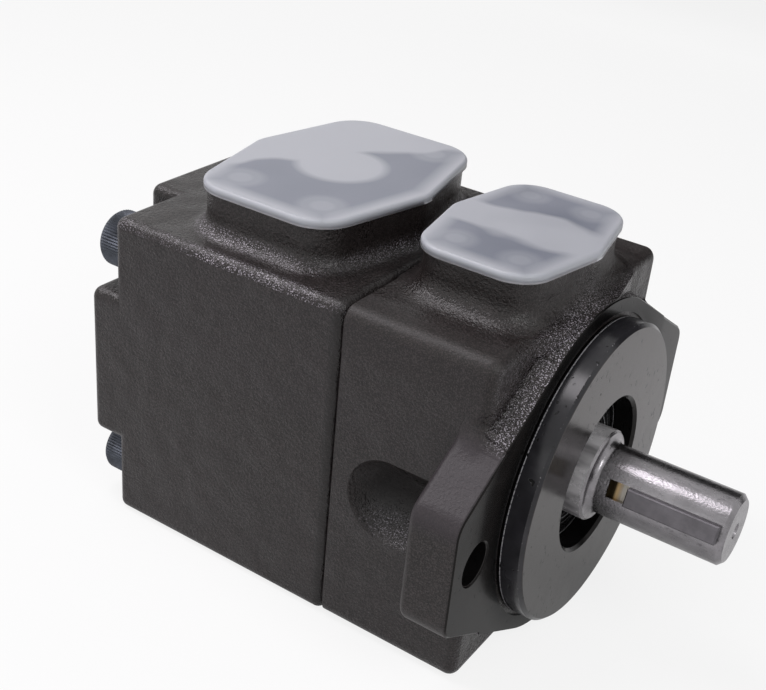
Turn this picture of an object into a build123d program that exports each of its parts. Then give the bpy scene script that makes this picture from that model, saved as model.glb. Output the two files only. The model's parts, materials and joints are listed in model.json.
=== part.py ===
"""Fixed-displacement hydraulic vane pump with an SAE A two-bolt flange, as build123d source.

Frame: X along the shaft with +X out of the drive end, Z up through the two ports, origin at the
centre of the pilot on the flange face. All sizes are in millimetres.
"""
import os
from math import cos, radians, sin

from build123d import *

# ---- fits and clearances ----
SEAT_GAP = 0.02          # pieces that are pressed or clamped together
RUN_GAP = 0.05           # running fits between turning and fixed pieces
LOOSE_GAP = 0.3          # loose pieces, such as the port caps' pegs
SLIDE_GAP = 0.05         # each side of a vane in its slot

# ---- castings ----
BODY_W = 90.0            # across, along Y
BODY_H = 93.0            # height, centred on the shaft
BODY_EDGE_R = 3.0        # cast radius on the long edges
BODY_FRONT_STEP = 5.5    # flange face to the body's front face
JOINT_X = -47.3          # face between the two castings
JOINT_EDGE_R = 2.5
POCKET_DEPTH = 9.4       # screw pockets in the rear corners
REAR_LENGTH = 83.7       # rear casting, joint face to its end
CROSS_HALF = 23.0        # half height of the cross-shaped rear block's side arms
CROSS_HALF_TOP = 21.5    # half width of its upper and lower arms
CROSS_ROOT_R = 5.0

# ---- mounting flange, SAE A two-bolt ----
PILOT_D = 82.55
PILOT_H = 6.35
PILOT_CHAMFER = 0.95
RELIEF_W = 1.2           # undercut in the flange face round the pilot
RELIEF_DEPTH = 0.6
BOLT_SPACING = 106.4
BOLT_HOLE_D = 11.0
RIM_STEP = 0.3           # body half height to the rim of the flange
EAR_END = 64.0           # shaft axis to the end of an ear
EAR_T = 13.3
EAR_CORNER_R = 6.0
EAR_CORNER_Z = 12.0      # height of the ear's corner centres
RIM_DRAFT_DEG = 18.0
SCOOP_R = 14.6           # room behind each ear for the mounting bolt's head
SCOOP_DROP = 2.0
SCOOP_LENGTH = 16.5

# ---- ports ----
PAD_RISE = 11.5          # port faces above the body
SUCTION_X = -81.5
SUCTION_PORT_D = 25.0
SUCTION_PATTERN = (26.2, 52.4)      # SAE 1 inch, M10
SUCTION_TAP_D = 8.5
SUCTION_CAP = (28.5, 36.5, 12.0, 11.4)   # half width, half length, side angle, corner radius
SUCTION_FOOT_R = 5.0
DISCHARGE_X = -25.1
DISCHARGE_PORT_D = 13.0
DISCHARGE_PATTERN = (17.5, 38.1)    # SAE 1/2 inch, M8
DISCHARGE_TAP_D = 6.8
DISCHARGE_CAP = (21.1, 28.0, 10.7, 10.0)
DISCHARGE_FOOT_R = 6.0
TAP_DEPTH = 15.5
CAP_OVERHANG = 1.0
CAP_T = 2.3
CAP_EDGE_R = 1.0
PEG_LENGTH = 8.0
CAP_DIMPLE = 0.4

# ---- shaft ----
SHAFT_D = 19.05
SHAFT_TIP_X = 43.3
COLLAR_D = 25.0
COLLAR_X = 7.5
COLLAR_FILLET = 1.8
SHOULDER_D = 29.0
MID_D = 24.0
REAR_JOURNAL_D = 17.0
KEY_SIZE = 4.76
KEY_ANGLE = 160.0        # round the shaft, from +Y towards +Z
KEY_LENGTH = 24.0
KEY_END_GAP = 1.6        # keyway end to the shaft's tip
KEYWAY_START_X = 12.2
SPLINE_TEETH = 6
SPLINE_MAJOR_D = 22.0
SPLINE_MINOR_D = 18.6
SPLINE_W = 4.0

# ---- front bearing, 25 x 52 x 15 ----
BEARING_OD = 52.0
BEARING_W = 15.0
BEARING_FRONT_X = -7.0
BALL_COUNT = 9
BALL_SHARE = 0.588       # ball over the space between bore and outside
CAGE_SHARE = 0.73        # cage width over bearing width
SNAP_T = 1.2
CIRCLIP_T = 2.0
CIRCLIP_DEPTH = 1.5

# ---- shaft seal, 25 x 42 x 8 ----
SEAL_OD = 42.0
SEAL_W = 8.0
SEAL_FRONT_X = 4.5
SEAL_SHEET = 1.2         # sheet of the seal's case
SEAL_TURN_IN = 2.2       # width of its front edge
SEAL_WEB_R = 18.0        # hole in the web between seal and bearing

# ---- cartridge ----
CAVITY_R = 38.0
PLATE_R = 36.0
RING_R = 34.0
RING_W = 25.0
FRONT_PLATE_X = -48.0
FRONT_PLATE_T = 18.0
REAR_PLATE_T = 13.0
SPIGOT_R = 32.0
SPIGOT_L = 7.0
HUB_NECK_R = 23.0
HUB_END_X = -27.0
HUB_BAND_L = 8.0
CAM_MEAN_R = 27.3
CAM_LIFT = 1.7
ROTOR_R = 25.0
VANES = 12
VANE_T = 1.95
VANE_H = 8.9
VANE_TIP_BREAK = 0.3
TIP_GAP = 0.2
SLOT_HOLE_R = 1.7
KIDNEY_ARC = 40.0
KIDNEY_DEPTH = 3.0
SUCTION_NOTCH_DEPTH = 5.0
UNDERVANE_DEPTH = 1.5
BUSH_WALL = 2.0
SPRING_GAP = 2.0
SPRING_T = 0.8
CART_SCREW_D = 5.0
CART_SCREW_HEAD = (8.5, 5.0)
CART_SCREW_R = 30.6
DOWEL_D = 4.0
RING_SECTION = 1.76      # O-ring cord
JOINT_RING_R = 40.8

# ---- cover screws, M10 ----
SCREW_Y = 33.0
SCREW_Z = 34.0
SCREW_D = 10.0
SCREW_HOLE_D = 11.0
SCREW_TAP_D = 8.5
SCREW_BITE = 20.0
SCREW_HEAD_D = 16.0
SCREW_HEAD_H = 10.0
SCREW_SOCKET = 8.0
SCREW_SOCKET_DEPTH = 5.0

# ---- places that follow from the sizes ----
BODY_FRONT_X = -BODY_FRONT_STEP
REAR_END_X = JOINT_X - REAR_LENGTH
POCKET_X = REAR_END_X + POCKET_DEPTH
TOP_Z = BODY_H / 2
PAD_Z = TOP_Z + PAD_RISE
RIM_R = TOP_Z - RIM_STEP
RING_FRONT_X = FRONT_PLATE_X - FRONT_PLATE_T
RING_REAR_X = RING_FRONT_X - RING_W
REAR_PLATE_END_X = RING_REAR_X - REAR_PLATE_T
CAVITY_END_X = REAR_PLATE_END_X - SPRING_GAP
BEARING_REAR_X = BEARING_FRONT_X - BEARING_W
BEARING_BORE_R = BEARING_OD / 2 + SEAT_GAP
BALL_PITCH_R = (BEARING_OD + COLLAR_D) / 4
BALL_D = BALL_SHARE * (BEARING_OD - COLLAR_D) / 2
RACE_EDGE = 0.3 * BALL_D
CIRCLIP_REAR_X = BEARING_REAR_X - CIRCLIP_T - 2 * SEAT_GAP
SPIGOT_END_X = FRONT_PLATE_X + SPIGOT_L
SHAFT_END_X = REAR_PLATE_END_X + 0.5
VANE_REST_TIP = ROTOR_R - 0.1
ROTOR_W = RING_W - 2 * RUN_GAP
GROOVE_DEPTH = RING_SECTION - 0.02
GROOVE_W = RING_SECTION + 0.8
SHAFT_R = SHAFT_D / 2
COLLAR_R = COLLAR_D / 2


# ---- helpers ----
def drum(radius, x0, x1, y=0.0, z=0.0):
    """Cylinder along X between x0 and x1."""
    plane = Plane.YZ.offset(min(x0, x1))
    return extrude(plane * Pos(y, z) * Circle(radius), amount=abs(x1 - x0))


def collar(outer, inner, x0, x1):
    """Ring along X between x0 and x1."""
    return drum(outer, x0, x1) - drum(inner, x0 - 1, x1 + 1) if x0 < x1 else collar(outer, inner, x1, x0)


def turned(*points):
    """Solid of revolution about the shaft from (x, radius) points."""
    return revolve(make_face(Polyline(*points, close=True)), Axis.X, 360)


def spun(solid, degrees):
    """Turns a solid about the shaft, from +Y towards +Z."""
    return Rot(degrees, 0, 0) * solid


def cord_ring(radius, section_r, x):
    """O-ring round the shaft."""
    return revolve(Plane.XY * Pos(x, radius) * Circle(section_r), Axis.X, 360)


def sector(outer, inner, x0, x1, middle, arc):
    """Arc-shaped block about the shaft, round at its ends' corners only by the ring's own faces."""
    ring = drum(outer, x0, x1) - drum(inner, x0, x1)
    reach = 2 * outer
    half = radians(arc / 2)
    wedge = make_face(
        Polyline((0, 0), (reach * cos(half), -reach * sin(half)), (reach * cos(half), reach * sin(half)), close=True)
    )
    block = extrude(Plane.YZ.offset(min(x0, x1)) * wedge, amount=abs(x1 - x0))
    return ring & spun(block, middle)


def kidney(middle_r, width, x0, x1, middle, arc):
    """Round-ended slot on an arc about the shaft."""
    body = sector(middle_r + width / 2, middle_r - width / 2, x0, x1, middle, arc)
    for side in (-1, 1):
        angle = radians(middle + side * arc / 2)
        body += drum(width / 2, x0, x1, middle_r * cos(angle), middle_r * sin(angle))
    return body


def pad_outline(half_w, half_l, side_angle, corner_r):
    """Six-sided port pad or cap: long sides break outwards to the middle."""
    corner = half_w - half_l * sin(radians(side_angle)) / cos(radians(side_angle))
    points = [(half_w, 0), (corner, half_l), (-corner, half_l), (-half_w, 0), (-corner, -half_l), (corner, -half_l)]
    face = make_face(Polyline(*points, close=True))
    return fillet(face.vertices(), corner_r)


def pattern(x, spacing):
    """The four hole centres of a port pattern."""
    return [(x + i * spacing[0] / 2, j * spacing[1] / 2) for i in (-1, 1) for j in (-1, 1)]


def flared_pad(x, cap, foot_r, keep):
    """Port pad standing on a wide plate with a cast radius at its foot, trimmed to the casting."""
    outline = offset(pad_outline(*cap), amount=-CAP_OVERHANG)
    plate = Pos(x, 0, TOP_Z - 3) * Box(4 * cap[0], 3 * cap[1], 6)
    neck = extrude(Plane.XY.offset(TOP_Z - 1) * Pos(x, 0) * outline, amount=PAD_Z - TOP_Z + 1)
    solid = plate + neck
    foot = solid.edges().filter_by(lambda e: abs(e.bounding_box().min.Z - TOP_Z) < 0.01
                                   and abs(e.bounding_box().max.Z - TOP_Z) < 0.01
                                   and abs(e.center().X - x) < cap[0] + 1 and abs(e.center().Y) < cap[1] + 1)
    solid = fillet(foot, foot_r)
    under = extrude(
        Plane.XY.offset(TOP_Z - 5) * Pos(x, 0) * offset(outline, amount=foot_r - 0.05), amount=PAD_Z - TOP_Z + 5
    )
    return solid & under & keep


# ---- castings ----
def flange_outline():
    """Round rim with two ears, in the YZ plane."""
    corners = [Pos(i * (EAR_END - EAR_CORNER_R), j * EAR_CORNER_Z) * Circle(EAR_CORNER_R)
               for i in (-1, 1) for j in (-1, 1)]
    return make_hull([e for shape in [Circle(RIM_R)] + corners for e in shape.edges()])


def front_housing():
    """Drive-end casting: flange, pilot, discharge port, seal and bearing seats, pressure chamber."""
    section = RectangleRounded(BODY_W, BODY_H, BODY_EDGE_R + 1)
    body = extrude(Plane.YZ.offset(JOINT_X) * section, amount=BODY_FRONT_X - JOINT_X)
    body = fillet(body.faces().sort_by(Axis.X)[-1].edges(), BODY_EDGE_R)
    body = chamfer(body.faces().sort_by(Axis.X)[0].edges(), 0.6)
    outline = flange_outline()
    ears = extrude(Plane.YZ.offset(-EAR_T) * outline, amount=EAR_T)
    ears = fillet(ears.faces().sort_by(Axis.X)[0].edges(), 2.0)
    ears = chamfer(ears.faces().sort_by(Axis.X)[-1].edges(), 0.6)
    skirt = extrude(Plane.YZ * outline, amount=-(BODY_FRONT_STEP + 1), taper=-RIM_DRAFT_DEG)
    envelope = extrude(Plane.YZ.offset(-EAR_T) * RectangleRounded(BODY_W, BODY_H, BODY_EDGE_R + 1), amount=EAR_T)
    body += ears
    body += skirt & envelope
    room = Pos((JOINT_X - 0.3) / 2, 0, PAD_Z) * Box(-JOINT_X - 0.3, BODY_W - 2 * BODY_EDGE_R, PAD_Z)
    body += flared_pad(DISCHARGE_X, DISCHARGE_CAP, DISCHARGE_FOOT_R, room)
    # room behind the ears for the mounting bolts' heads
    for side in (-1, 1):
        y = side * BOLT_SPACING / 2
        scoop = drum(SCOOP_R, -EAR_T - SCOOP_LENGTH, -EAR_T, y, -SCOOP_DROP)
        scoop += Pos(-EAR_T - SCOOP_LENGTH, y, -SCOOP_DROP) * Sphere(SCOOP_R)
        body -= scoop & (Pos(-EAR_T - 30, y, 0) * Box(60, 40, 60))
        body -= drum(BOLT_HOLE_D / 2, -EAR_T - 1, 1, y)
        body -= turned_at((-0.5, 0), (-0.5, BOLT_HOLE_D / 2), (0.1, BOLT_HOLE_D / 2 + 0.6), (0.1, 0), y=y)
    # relief in the flange face, then the pilot
    body -= collar(PILOT_D / 2 + RELIEF_W, PILOT_D / 2 - 1, -RELIEF_DEPTH, 1)
    body += turned((-2, 0), (-2, PILOT_D / 2), (PILOT_H - PILOT_CHAMFER, PILOT_D / 2),
                   (PILOT_H, PILOT_D / 2 - PILOT_CHAMFER), (PILOT_H, 0))
    # seal seat with a lead-in, web, bearing seat, circlip groove, hub bore and pressure chamber
    seal_r = SEAL_OD / 2 + SEAT_GAP
    seal_back = SEAL_FRONT_X - SEAL_W - SEAT_GAP
    body -= turned((seal_back, 0), (seal_back, seal_r), (PILOT_H - 0.8, seal_r), (PILOT_H + 0.1, seal_r + 0.9),
                   (PILOT_H + 0.1, 0))
    body -= drum(SEAL_WEB_R, BEARING_FRONT_X - 1, SEAL_FRONT_X)
    body -= drum(BEARING_BORE_R, JOINT_X, BEARING_FRONT_X + SEAT_GAP)
    body -= drum(BEARING_BORE_R + CIRCLIP_DEPTH, CIRCLIP_REAR_X, BEARING_REAR_X - SEAT_GAP)
    body -= drum(SPIGOT_R + SEAT_GAP, JOINT_X - 1, HUB_END_X - HUB_BAND_L)
    # discharge passage: port drilling and a cored duct down to the chamber
    duct_z = BEARING_BORE_R + CIRCLIP_DEPTH + 2
    body -= Pos(DISCHARGE_X, 0, (PAD_Z + duct_z) / 2) * Cylinder(DISCHARGE_PORT_D / 2, PAD_Z - duct_z + 1)
    duct_front = DISCHARGE_X + DISCHARGE_PORT_D / 2 - 1
    duct_rear = SPIGOT_END_X + 1
    duct = Pos((duct_front + duct_rear) / 2, 0, duct_z + 3.5) * Box(duct_front - duct_rear, 12, 7)
    body -= fillet(duct.edges().filter_by(Axis.X), 2.0)
    for x, y in pattern(DISCHARGE_X, DISCHARGE_PATTERN):
        body -= tapped(DISCHARGE_TAP_D, x, y)
    # tapped holes for the cover screws and the joint's O-ring groove
    for y in (-SCREW_Y, SCREW_Y):
        for z in (-SCREW_Z, SCREW_Z):
            body -= drum(SCREW_TAP_D / 2, JOINT_X - 1, JOINT_X + SCREW_BITE + 3, y, z)
    body -= collar(JOINT_RING_R + GROOVE_W / 2, JOINT_RING_R - GROOVE_W / 2, JOINT_X - 1, JOINT_X + RING_SECTION + 0.1)
    return body


def turned_at(*points, y):
    """Revolved cut about a line along X through y."""
    return Pos(0, y, 0) * turned(*points)


def tapped(tap_d, x, y):
    """Tapped hole in a port face, at its drilled size, with a countersunk mouth."""
    hole = Pos(x, y, PAD_Z - TAP_DEPTH / 2 + 0.5) * Cylinder(tap_d / 2, TAP_DEPTH + 1)
    mouth = Pos(x, y, PAD_Z - 0.25) * Cone(tap_d / 2, tap_d / 2 + 1.0, 1.0)
    return hole + mouth


def rear_cover():
    """Rear casting: suction port, cartridge cavity and the cross-shaped end between the screw pockets."""
    section = RectangleRounded(BODY_W, BODY_H, BODY_EDGE_R)
    body = extrude(Plane.YZ.offset(POCKET_X) * section, amount=JOINT_X - POCKET_X)
    body = fillet(body.faces().sort_by(Axis.X)[0].edges(), BODY_EDGE_R - 0.5)
    body = fillet(body.faces().sort_by(Axis.X)[-1].edges(), JOINT_EDGE_R)
    cross = Rectangle(BODY_W, 2 * CROSS_HALF) + Rectangle(2 * CROSS_HALF_TOP, BODY_H)
    inner = cross.vertices().filter_by(lambda v: abs(v.X) < CROSS_HALF + 1 and abs(v.Y) < CROSS_HALF + 1)
    cross = fillet(inner, CROSS_ROOT_R)
    outer = cross.vertices().filter_by(lambda v: abs(v.X) > BODY_W / 2 - 0.1 or abs(v.Y) > BODY_H / 2 - 0.1)
    cross = fillet(outer, BODY_EDGE_R)
    block = extrude(Plane.YZ.offset(REAR_END_X) * cross, amount=POCKET_DEPTH + BODY_EDGE_R + 1)
    block = fillet(block.faces().sort_by(Axis.X)[0].edges(), BODY_EDGE_R - 0.5)
    body += block
    room = Pos((JOINT_X + POCKET_X) / 2, 0, PAD_Z) * Box(JOINT_X - POCKET_X, BODY_W - 2 * BODY_EDGE_R, PAD_Z)
    body += flared_pad(SUCTION_X, SUCTION_CAP, SUCTION_FOOT_R, room)
    # cavity round the cartridge, suction port and the clearance for the shaft's end
    body -= drum(CAVITY_R, CAVITY_END_X, JOINT_X + 1)
    body -= drum(REAR_JOURNAL_D / 2 + 3, CAVITY_END_X - 3, CAVITY_END_X + 1)
    body -= Pos(SUCTION_X, 0, PAD_Z - 15) * Cylinder(SUCTION_PORT_D / 2, 32)
    for x, y in pattern(SUCTION_X, SUCTION_PATTERN):
        body -= tapped(SUCTION_TAP_D, x, y)
    for y in (-SCREW_Y, SCREW_Y):
        for z in (-SCREW_Z, SCREW_Z):
            body -= drum(SCREW_HOLE_D / 2, POCKET_X - 1, JOINT_X + 1, y, z)
            body -= drum(SCREW_HEAD_D / 2 + 1, POCKET_X - 1, POCKET_X + 0.3, y, z)
    return body


def cover_screws():
    """Four socket-head cap screws through the rear casting into the front one."""
    seat_x = POCKET_X + 0.3 - SEAT_GAP
    head = drum(SCREW_HEAD_D / 2, seat_x - SCREW_HEAD_H, seat_x)
    head = fillet(head.faces().sort_by(Axis.X)[0].edges(), 0.8)
    socket = RegularPolygon(SCREW_SOCKET / 2, 6, major_radius=False)
    head -= extrude(Plane.YZ.offset(seat_x - SCREW_HEAD_H) * socket, amount=SCREW_SOCKET_DEPTH)
    screw = head + drum(SCREW_D / 2, seat_x, JOINT_X - 0.5)
    screw += drum(SCREW_TAP_D / 2 - RUN_GAP, JOINT_X - 0.5, JOINT_X + SCREW_BITE)
    return [Pos(0, y, z) * screw for y in (-SCREW_Y, SCREW_Y) for z in (-SCREW_Z, SCREW_Z)]


# ---- shaft group ----
def spline_blocks(width, outer, x0, x1):
    """Straight spline teeth, or the slots for them."""
    tooth = Pos((x0 + x1) / 2, outer / 2, 0) * Box(abs(x1 - x0), outer, width)
    teeth = [spun(tooth, 360 / SPLINE_TEETH * k) for k in range(SPLINE_TEETH)]
    whole = teeth[0]
    for tooth in teeth[1:]:
        whole += tooth
    return whole


def drive_shaft():
    """Keyed shaft with seal journal, bearing shoulder, splines for the rotor and rear journal."""
    shoulder_rear = HUB_END_X + 2
    spline_front = RING_FRONT_X + 2
    journal_x = RING_REAR_X + RUN_GAP
    shaft = turned(
        (SHAFT_END_X, 0), (SHAFT_END_X, REAR_JOURNAL_D / 2 - 1), (SHAFT_END_X + 1, REAR_JOURNAL_D / 2),
        (journal_x, REAR_JOURNAL_D / 2), (journal_x, SPLINE_MINOR_D / 2), (spline_front, SPLINE_MINOR_D / 2),
        (spline_front, MID_D / 2), (shoulder_rear, MID_D / 2), (shoulder_rear, SHOULDER_D / 2),
        (BEARING_REAR_X - SEAT_GAP, SHOULDER_D / 2), (BEARING_REAR_X - SEAT_GAP, COLLAR_R),
        (COLLAR_X - 0.6, COLLAR_R), (COLLAR_X, COLLAR_R - 0.6), (COLLAR_X, SHAFT_R),
        (SHAFT_TIP_X - 1.2, SHAFT_R), (SHAFT_TIP_X, SHAFT_R - 1.2), (SHAFT_TIP_X, 0),
    )
    root = shaft.edges().filter_by(lambda e: abs(e.bounding_box().min.X - COLLAR_X) < 0.01
                                   and abs(e.bounding_box().max.X - COLLAR_X) < 0.01
                                   and abs(e.bounding_box().max.Y - SHAFT_R) < 0.01)
    shaft = fillet(root, COLLAR_FILLET)
    teeth = spline_blocks(SPLINE_W, SPLINE_MAJOR_D / 2, journal_x, spline_front)
    shaft += teeth & drum(SPLINE_MAJOR_D / 2, journal_x, spline_front)
    shaft -= collar(COLLAR_R + 1, COLLAR_R - 0.8, BEARING_FRONT_X, BEARING_FRONT_X + SNAP_T + 2 * SEAT_GAP)
    shaft -= spun(keyway(), KEY_ANGLE)
    shaft -= Pos(SHAFT_TIP_X - 1.5, 0, 0) * Rot(0, 90, 0) * Cone(0.3, 2.2, 3.2)
    return shaft


def keyway():
    """Keyway milled by a disc cutter, which leaves a rising end towards the collar."""
    floor = SHAFT_R - KEY_SIZE / 2
    end = SHAFT_TIP_X - KEY_END_GAP
    run_out = 3.2
    profile = make_face(Polyline(
        (KEYWAY_START_X, SHAFT_R + 1), (KEYWAY_START_X, SHAFT_R - 0.6), (KEYWAY_START_X + run_out / 3, floor + 0.9),
        (KEYWAY_START_X + run_out, floor), (end, floor), (end, SHAFT_R + 1), close=True))
    width = KEY_SIZE + 2 * SEAT_GAP
    return extrude(profile, amount=width / 2, both=True)


def shaft_key():
    """Square key, its ends lightly chamfered."""
    end = SHAFT_TIP_X - KEY_END_GAP - SEAT_GAP
    bottom = SHAFT_R - KEY_SIZE / 2 + SEAT_GAP
    key = Pos(end - KEY_LENGTH / 2, bottom + KEY_SIZE / 2, 0) * Box(KEY_LENGTH, KEY_SIZE, KEY_SIZE)
    key = chamfer(key.edges().filter_by(lambda e: e.center().Y > bottom + KEY_SIZE - 0.01), 0.3)
    return spun(key, KEY_ANGLE)


def rotor():
    """Slotted rotor on the shaft's splines."""
    rear = RING_REAR_X + RUN_GAP
    front = rear + ROTOR_W
    body = collar(ROTOR_R, SPLINE_MINOR_D / 2 + SEAT_GAP, rear, front)
    slots = spline_blocks(SPLINE_W + 2 * SEAT_GAP, SPLINE_MAJOR_D / 2 + SEAT_GAP, rear - 1, front + 1)
    body -= slots & drum(SPLINE_MAJOR_D / 2 + SEAT_GAP, rear - 1, front + 1)
    bottom = VANE_REST_TIP - VANE_H - 0.8
    width = VANE_T + 2 * SLIDE_GAP
    slot = Pos((rear + front) / 2, (bottom + ROTOR_R + 1) / 2, 0) * Box(ROTOR_W + 2, ROTOR_R + 1 - bottom, width)
    slot += drum(SLOT_HOLE_R, rear - 1, front + 1, bottom)
    for k in range(VANES):
        body -= spun(slot, vane_angle(k))
    return body


def vane_angle(k):
    """Angle of vane k about the shaft, counted from +Y towards +Z."""
    return 360 / VANES * (k + 0.5)


def cam_radius(degrees):
    """Cam ring's bore: two lobes, narrow towards +Y and -Y, wide towards +Z and -Z."""
    return CAM_MEAN_R - CAM_LIFT * cos(radians(2 * degrees))


def vane_travel(k):
    """How far vane k can slide out before its tip meets the cam ring."""
    return cam_radius(vane_angle(k)) - VANE_REST_TIP - TIP_GAP


def vane(k):
    """One vane, drawn back into the rotor."""
    rear = RING_REAR_X + RUN_GAP
    blade = Pos(rear + ROTOR_W / 2, VANE_REST_TIP - VANE_H / 2, 0) * Box(ROTOR_W, VANE_H, VANE_T)
    tip = blade.edges().filter_by(Axis.X).filter_by(lambda e: e.center().Y > VANE_REST_TIP - 0.01)
    return spun(chamfer(tip, VANE_TIP_BREAK), vane_angle(k))


# ---- cartridge ----
def cam_ring():
    """Ring with the two-lobed bore that the vanes follow."""
    points = [(cam_radius(a) * cos(radians(a)), cam_radius(a) * sin(radians(a))) for a in range(0, 181, 15)]
    half = Spline(*points, tangents=((0, 1), (0, -1)))
    bore = make_face([half, Rot(0, 0, 180) * half])
    ring = drum(RING_R, RING_REAR_X, RING_FRONT_X)
    ring = chamfer(ring.edges().filter_by(GeomType.CIRCLE), 0.5)
    ring -= extrude(Plane.YZ.offset(RING_REAR_X - 1) * bore, amount=RING_W + 2)
    return ring - cartridge_holes(RING_REAR_X - 1, RING_FRONT_X + 1)


def cartridge_holes(x0, x1):
    """Holes for the two cartridge screws and the two dowels."""
    holes = drum(CART_SCREW_D / 2 + 0.1, x0, x1, CART_SCREW_R)
    holes += spun(drum(DOWEL_D / 2 + SEAT_GAP, x0, x1, CART_SCREW_R), 20)
    return holes + spun(holes, 180)


def side_ports(face_x, into, open_through):
    """Cuts in a side plate's face: suction notches, discharge kidneys and under-vane groove."""
    deep = face_x + into * SUCTION_NOTCH_DEPTH
    out = face_x - into
    cuts = sector(PLATE_R + 1, ROTOR_R + 0.3, deep, out, 135, KIDNEY_ARC)
    cuts += sector(PLATE_R + 1, ROTOR_R + 0.3, deep, out, 315, KIDNEY_ARC)
    kidney_end = open_through if open_through is not None else face_x + into * KIDNEY_DEPTH
    for middle in (45, 225):
        cuts += kidney(ROTOR_R + 1.4, 2.6, kidney_end, out, middle, KIDNEY_ARC)
    groove_r = VANE_REST_TIP - VANE_H - 0.8
    deep = face_x + into * UNDERVANE_DEPTH
    cuts += drum(groove_r + 1.2, deep, out) - drum(groove_r - 1.2, deep, out)
    return cuts


def front_side_plate():
    """Pressure plate: disc against the cam ring, sealed spigot, and hub in the bearing's bore."""
    hub_r = hub_radius()
    hub_band = HUB_END_X - HUB_BAND_L
    plate = turned(
        (RING_FRONT_X, 0), (RING_FRONT_X, PLATE_R), (FRONT_PLATE_X, PLATE_R), (FRONT_PLATE_X, SPIGOT_R),
        (SPIGOT_END_X, SPIGOT_R), (SPIGOT_END_X, HUB_NECK_R), (hub_band, HUB_NECK_R), (hub_band, hub_r),
        (HUB_END_X, hub_r), (HUB_END_X, 0),
    )
    plate -= drum(MID_D / 2 + 0.5, RING_FRONT_X - 1, HUB_END_X + 1)
    plate -= side_ports(RING_FRONT_X, 1, SPIGOT_END_X + 1)
    plate -= o_ring_groove(SPIGOT_R, plate_ring_x())
    plate -= o_ring_groove(hub_r, hub_ring_x())
    return plate - cartridge_holes(RING_FRONT_X - 1, RING_FRONT_X + 12)


def plate_ring_x():
    """Middle of the spigot's O-ring, inside the front casting."""
    return (JOINT_X + SPIGOT_END_X) / 2


def hub_ring_x():
    """Middle of the hub's seal ring."""
    return HUB_END_X - HUB_BAND_L / 2


def o_ring_groove(surface_r, x):
    """Groove for an O-ring on an outside diameter."""
    return collar(surface_r + 1, surface_r - GROOVE_DEPTH, x - GROOVE_W / 2, x + GROOVE_W / 2)


def o_ring_in_groove(surface_r, x):
    """O-ring that lies in such a groove."""
    return cord_ring(surface_r - GROOVE_DEPTH / 2, GROOVE_DEPTH / 2 - SEAT_GAP / 2, x)


def hub_radius():
    """Outside of the pressure plate's hub, which plugs the bearing's bore."""
    return BEARING_BORE_R - RUN_GAP


def rear_side_plate():
    """Rear plate with the bush for the shaft's end and counterbores for the cartridge screws."""
    plate = drum(RING_R, REAR_PLATE_END_X, RING_REAR_X)
    plate = chamfer(plate.edges().filter_by(GeomType.CIRCLE), 0.6)
    plate -= side_ports(RING_REAR_X, -1, None)
    plate -= drum(bush_outer() + SEAT_GAP, REAR_PLATE_END_X - 1, RING_REAR_X + 1)
    plate -= cartridge_holes(REAR_PLATE_END_X - 1, RING_REAR_X + 1)
    head_r = CART_SCREW_HEAD[0] / 2 + 0.2
    for y in (-CART_SCREW_R, CART_SCREW_R):
        plate -= drum(head_r, REAR_PLATE_END_X - 1, REAR_PLATE_END_X + CART_SCREW_HEAD[1] + 0.5, y)
    return plate


def bush_outer():
    """Outside radius of the rear bush."""
    return REAR_JOURNAL_D / 2 + BUSH_WALL


def rear_bush():
    """Plain bearing bush for the shaft's rear journal."""
    return collar(bush_outer(), REAR_JOURNAL_D / 2 + RUN_GAP, REAR_PLATE_END_X + 0.2, RING_REAR_X - 0.4)


def cartridge_screws():
    """Two screws that hold the cartridge together."""
    head_x = REAR_PLATE_END_X + CART_SCREW_HEAD[1] + 0.5 - SEAT_GAP
    head = drum(CART_SCREW_HEAD[0] / 2, head_x - CART_SCREW_HEAD[1], head_x)
    socket = RegularPolygon(2.0, 6, major_radius=False)
    head -= extrude(Plane.YZ.offset(head_x - CART_SCREW_HEAD[1]) * socket, amount=2.5)
    screw = head + drum(CART_SCREW_D / 2, head_x, RING_FRONT_X + 10)
    return [Pos(0, y, 0) * screw for y in (-CART_SCREW_R, CART_SCREW_R)]


def dowel_pins():
    """Two dowels that line up the plates and the ring."""
    pin = drum(DOWEL_D / 2, RING_REAR_X - 8, RING_FRONT_X + 8, CART_SCREW_R)
    pin = chamfer(pin.edges().filter_by(GeomType.CIRCLE), 0.4)
    return [spun(pin, 20), spun(pin, 200)]


def preload_spring():
    """Disc spring that presses the cartridge against the front casting."""
    rise = SPRING_GAP - SPRING_T - 2 * SEAT_GAP
    inner = bush_outer() + 4
    outer = SPIGOT_R - 6
    x = CAVITY_END_X + SEAT_GAP
    return turned((x, outer), (x + SPRING_T, outer), (x + SPRING_T + rise, inner), (x + rise, inner))


# ---- bearing ----
def race_groove(gap):
    """Torus that clears the balls."""
    x = (BEARING_FRONT_X + BEARING_REAR_X) / 2
    return cord_ring(BALL_PITCH_R, BALL_D / 2 + gap, x)


def bearing_outer_race():
    """Outer race, in the housing."""
    ring = collar(BEARING_OD / 2, BALL_PITCH_R + RACE_EDGE, BEARING_REAR_X, BEARING_FRONT_X)
    ring = chamfer(ring.edges().filter_by(GeomType.CIRCLE).group_by(lambda e: e.radius)[-1], 0.8)
    return ring - race_groove(RUN_GAP)


def bearing_inner_race():
    """Inner race, on the shaft."""
    ring = collar(BALL_PITCH_R - RACE_EDGE, COLLAR_R + SEAT_GAP, BEARING_REAR_X, BEARING_FRONT_X)
    return ring - race_groove(RUN_GAP)


def bearing_balls():
    """The balls."""
    x = (BEARING_FRONT_X + BEARING_REAR_X) / 2
    ball = Pos(x, BALL_PITCH_R, 0) * Sphere(BALL_D / 2)
    return [spun(ball, 360 / BALL_COUNT * k) for k in range(BALL_COUNT)]


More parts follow.
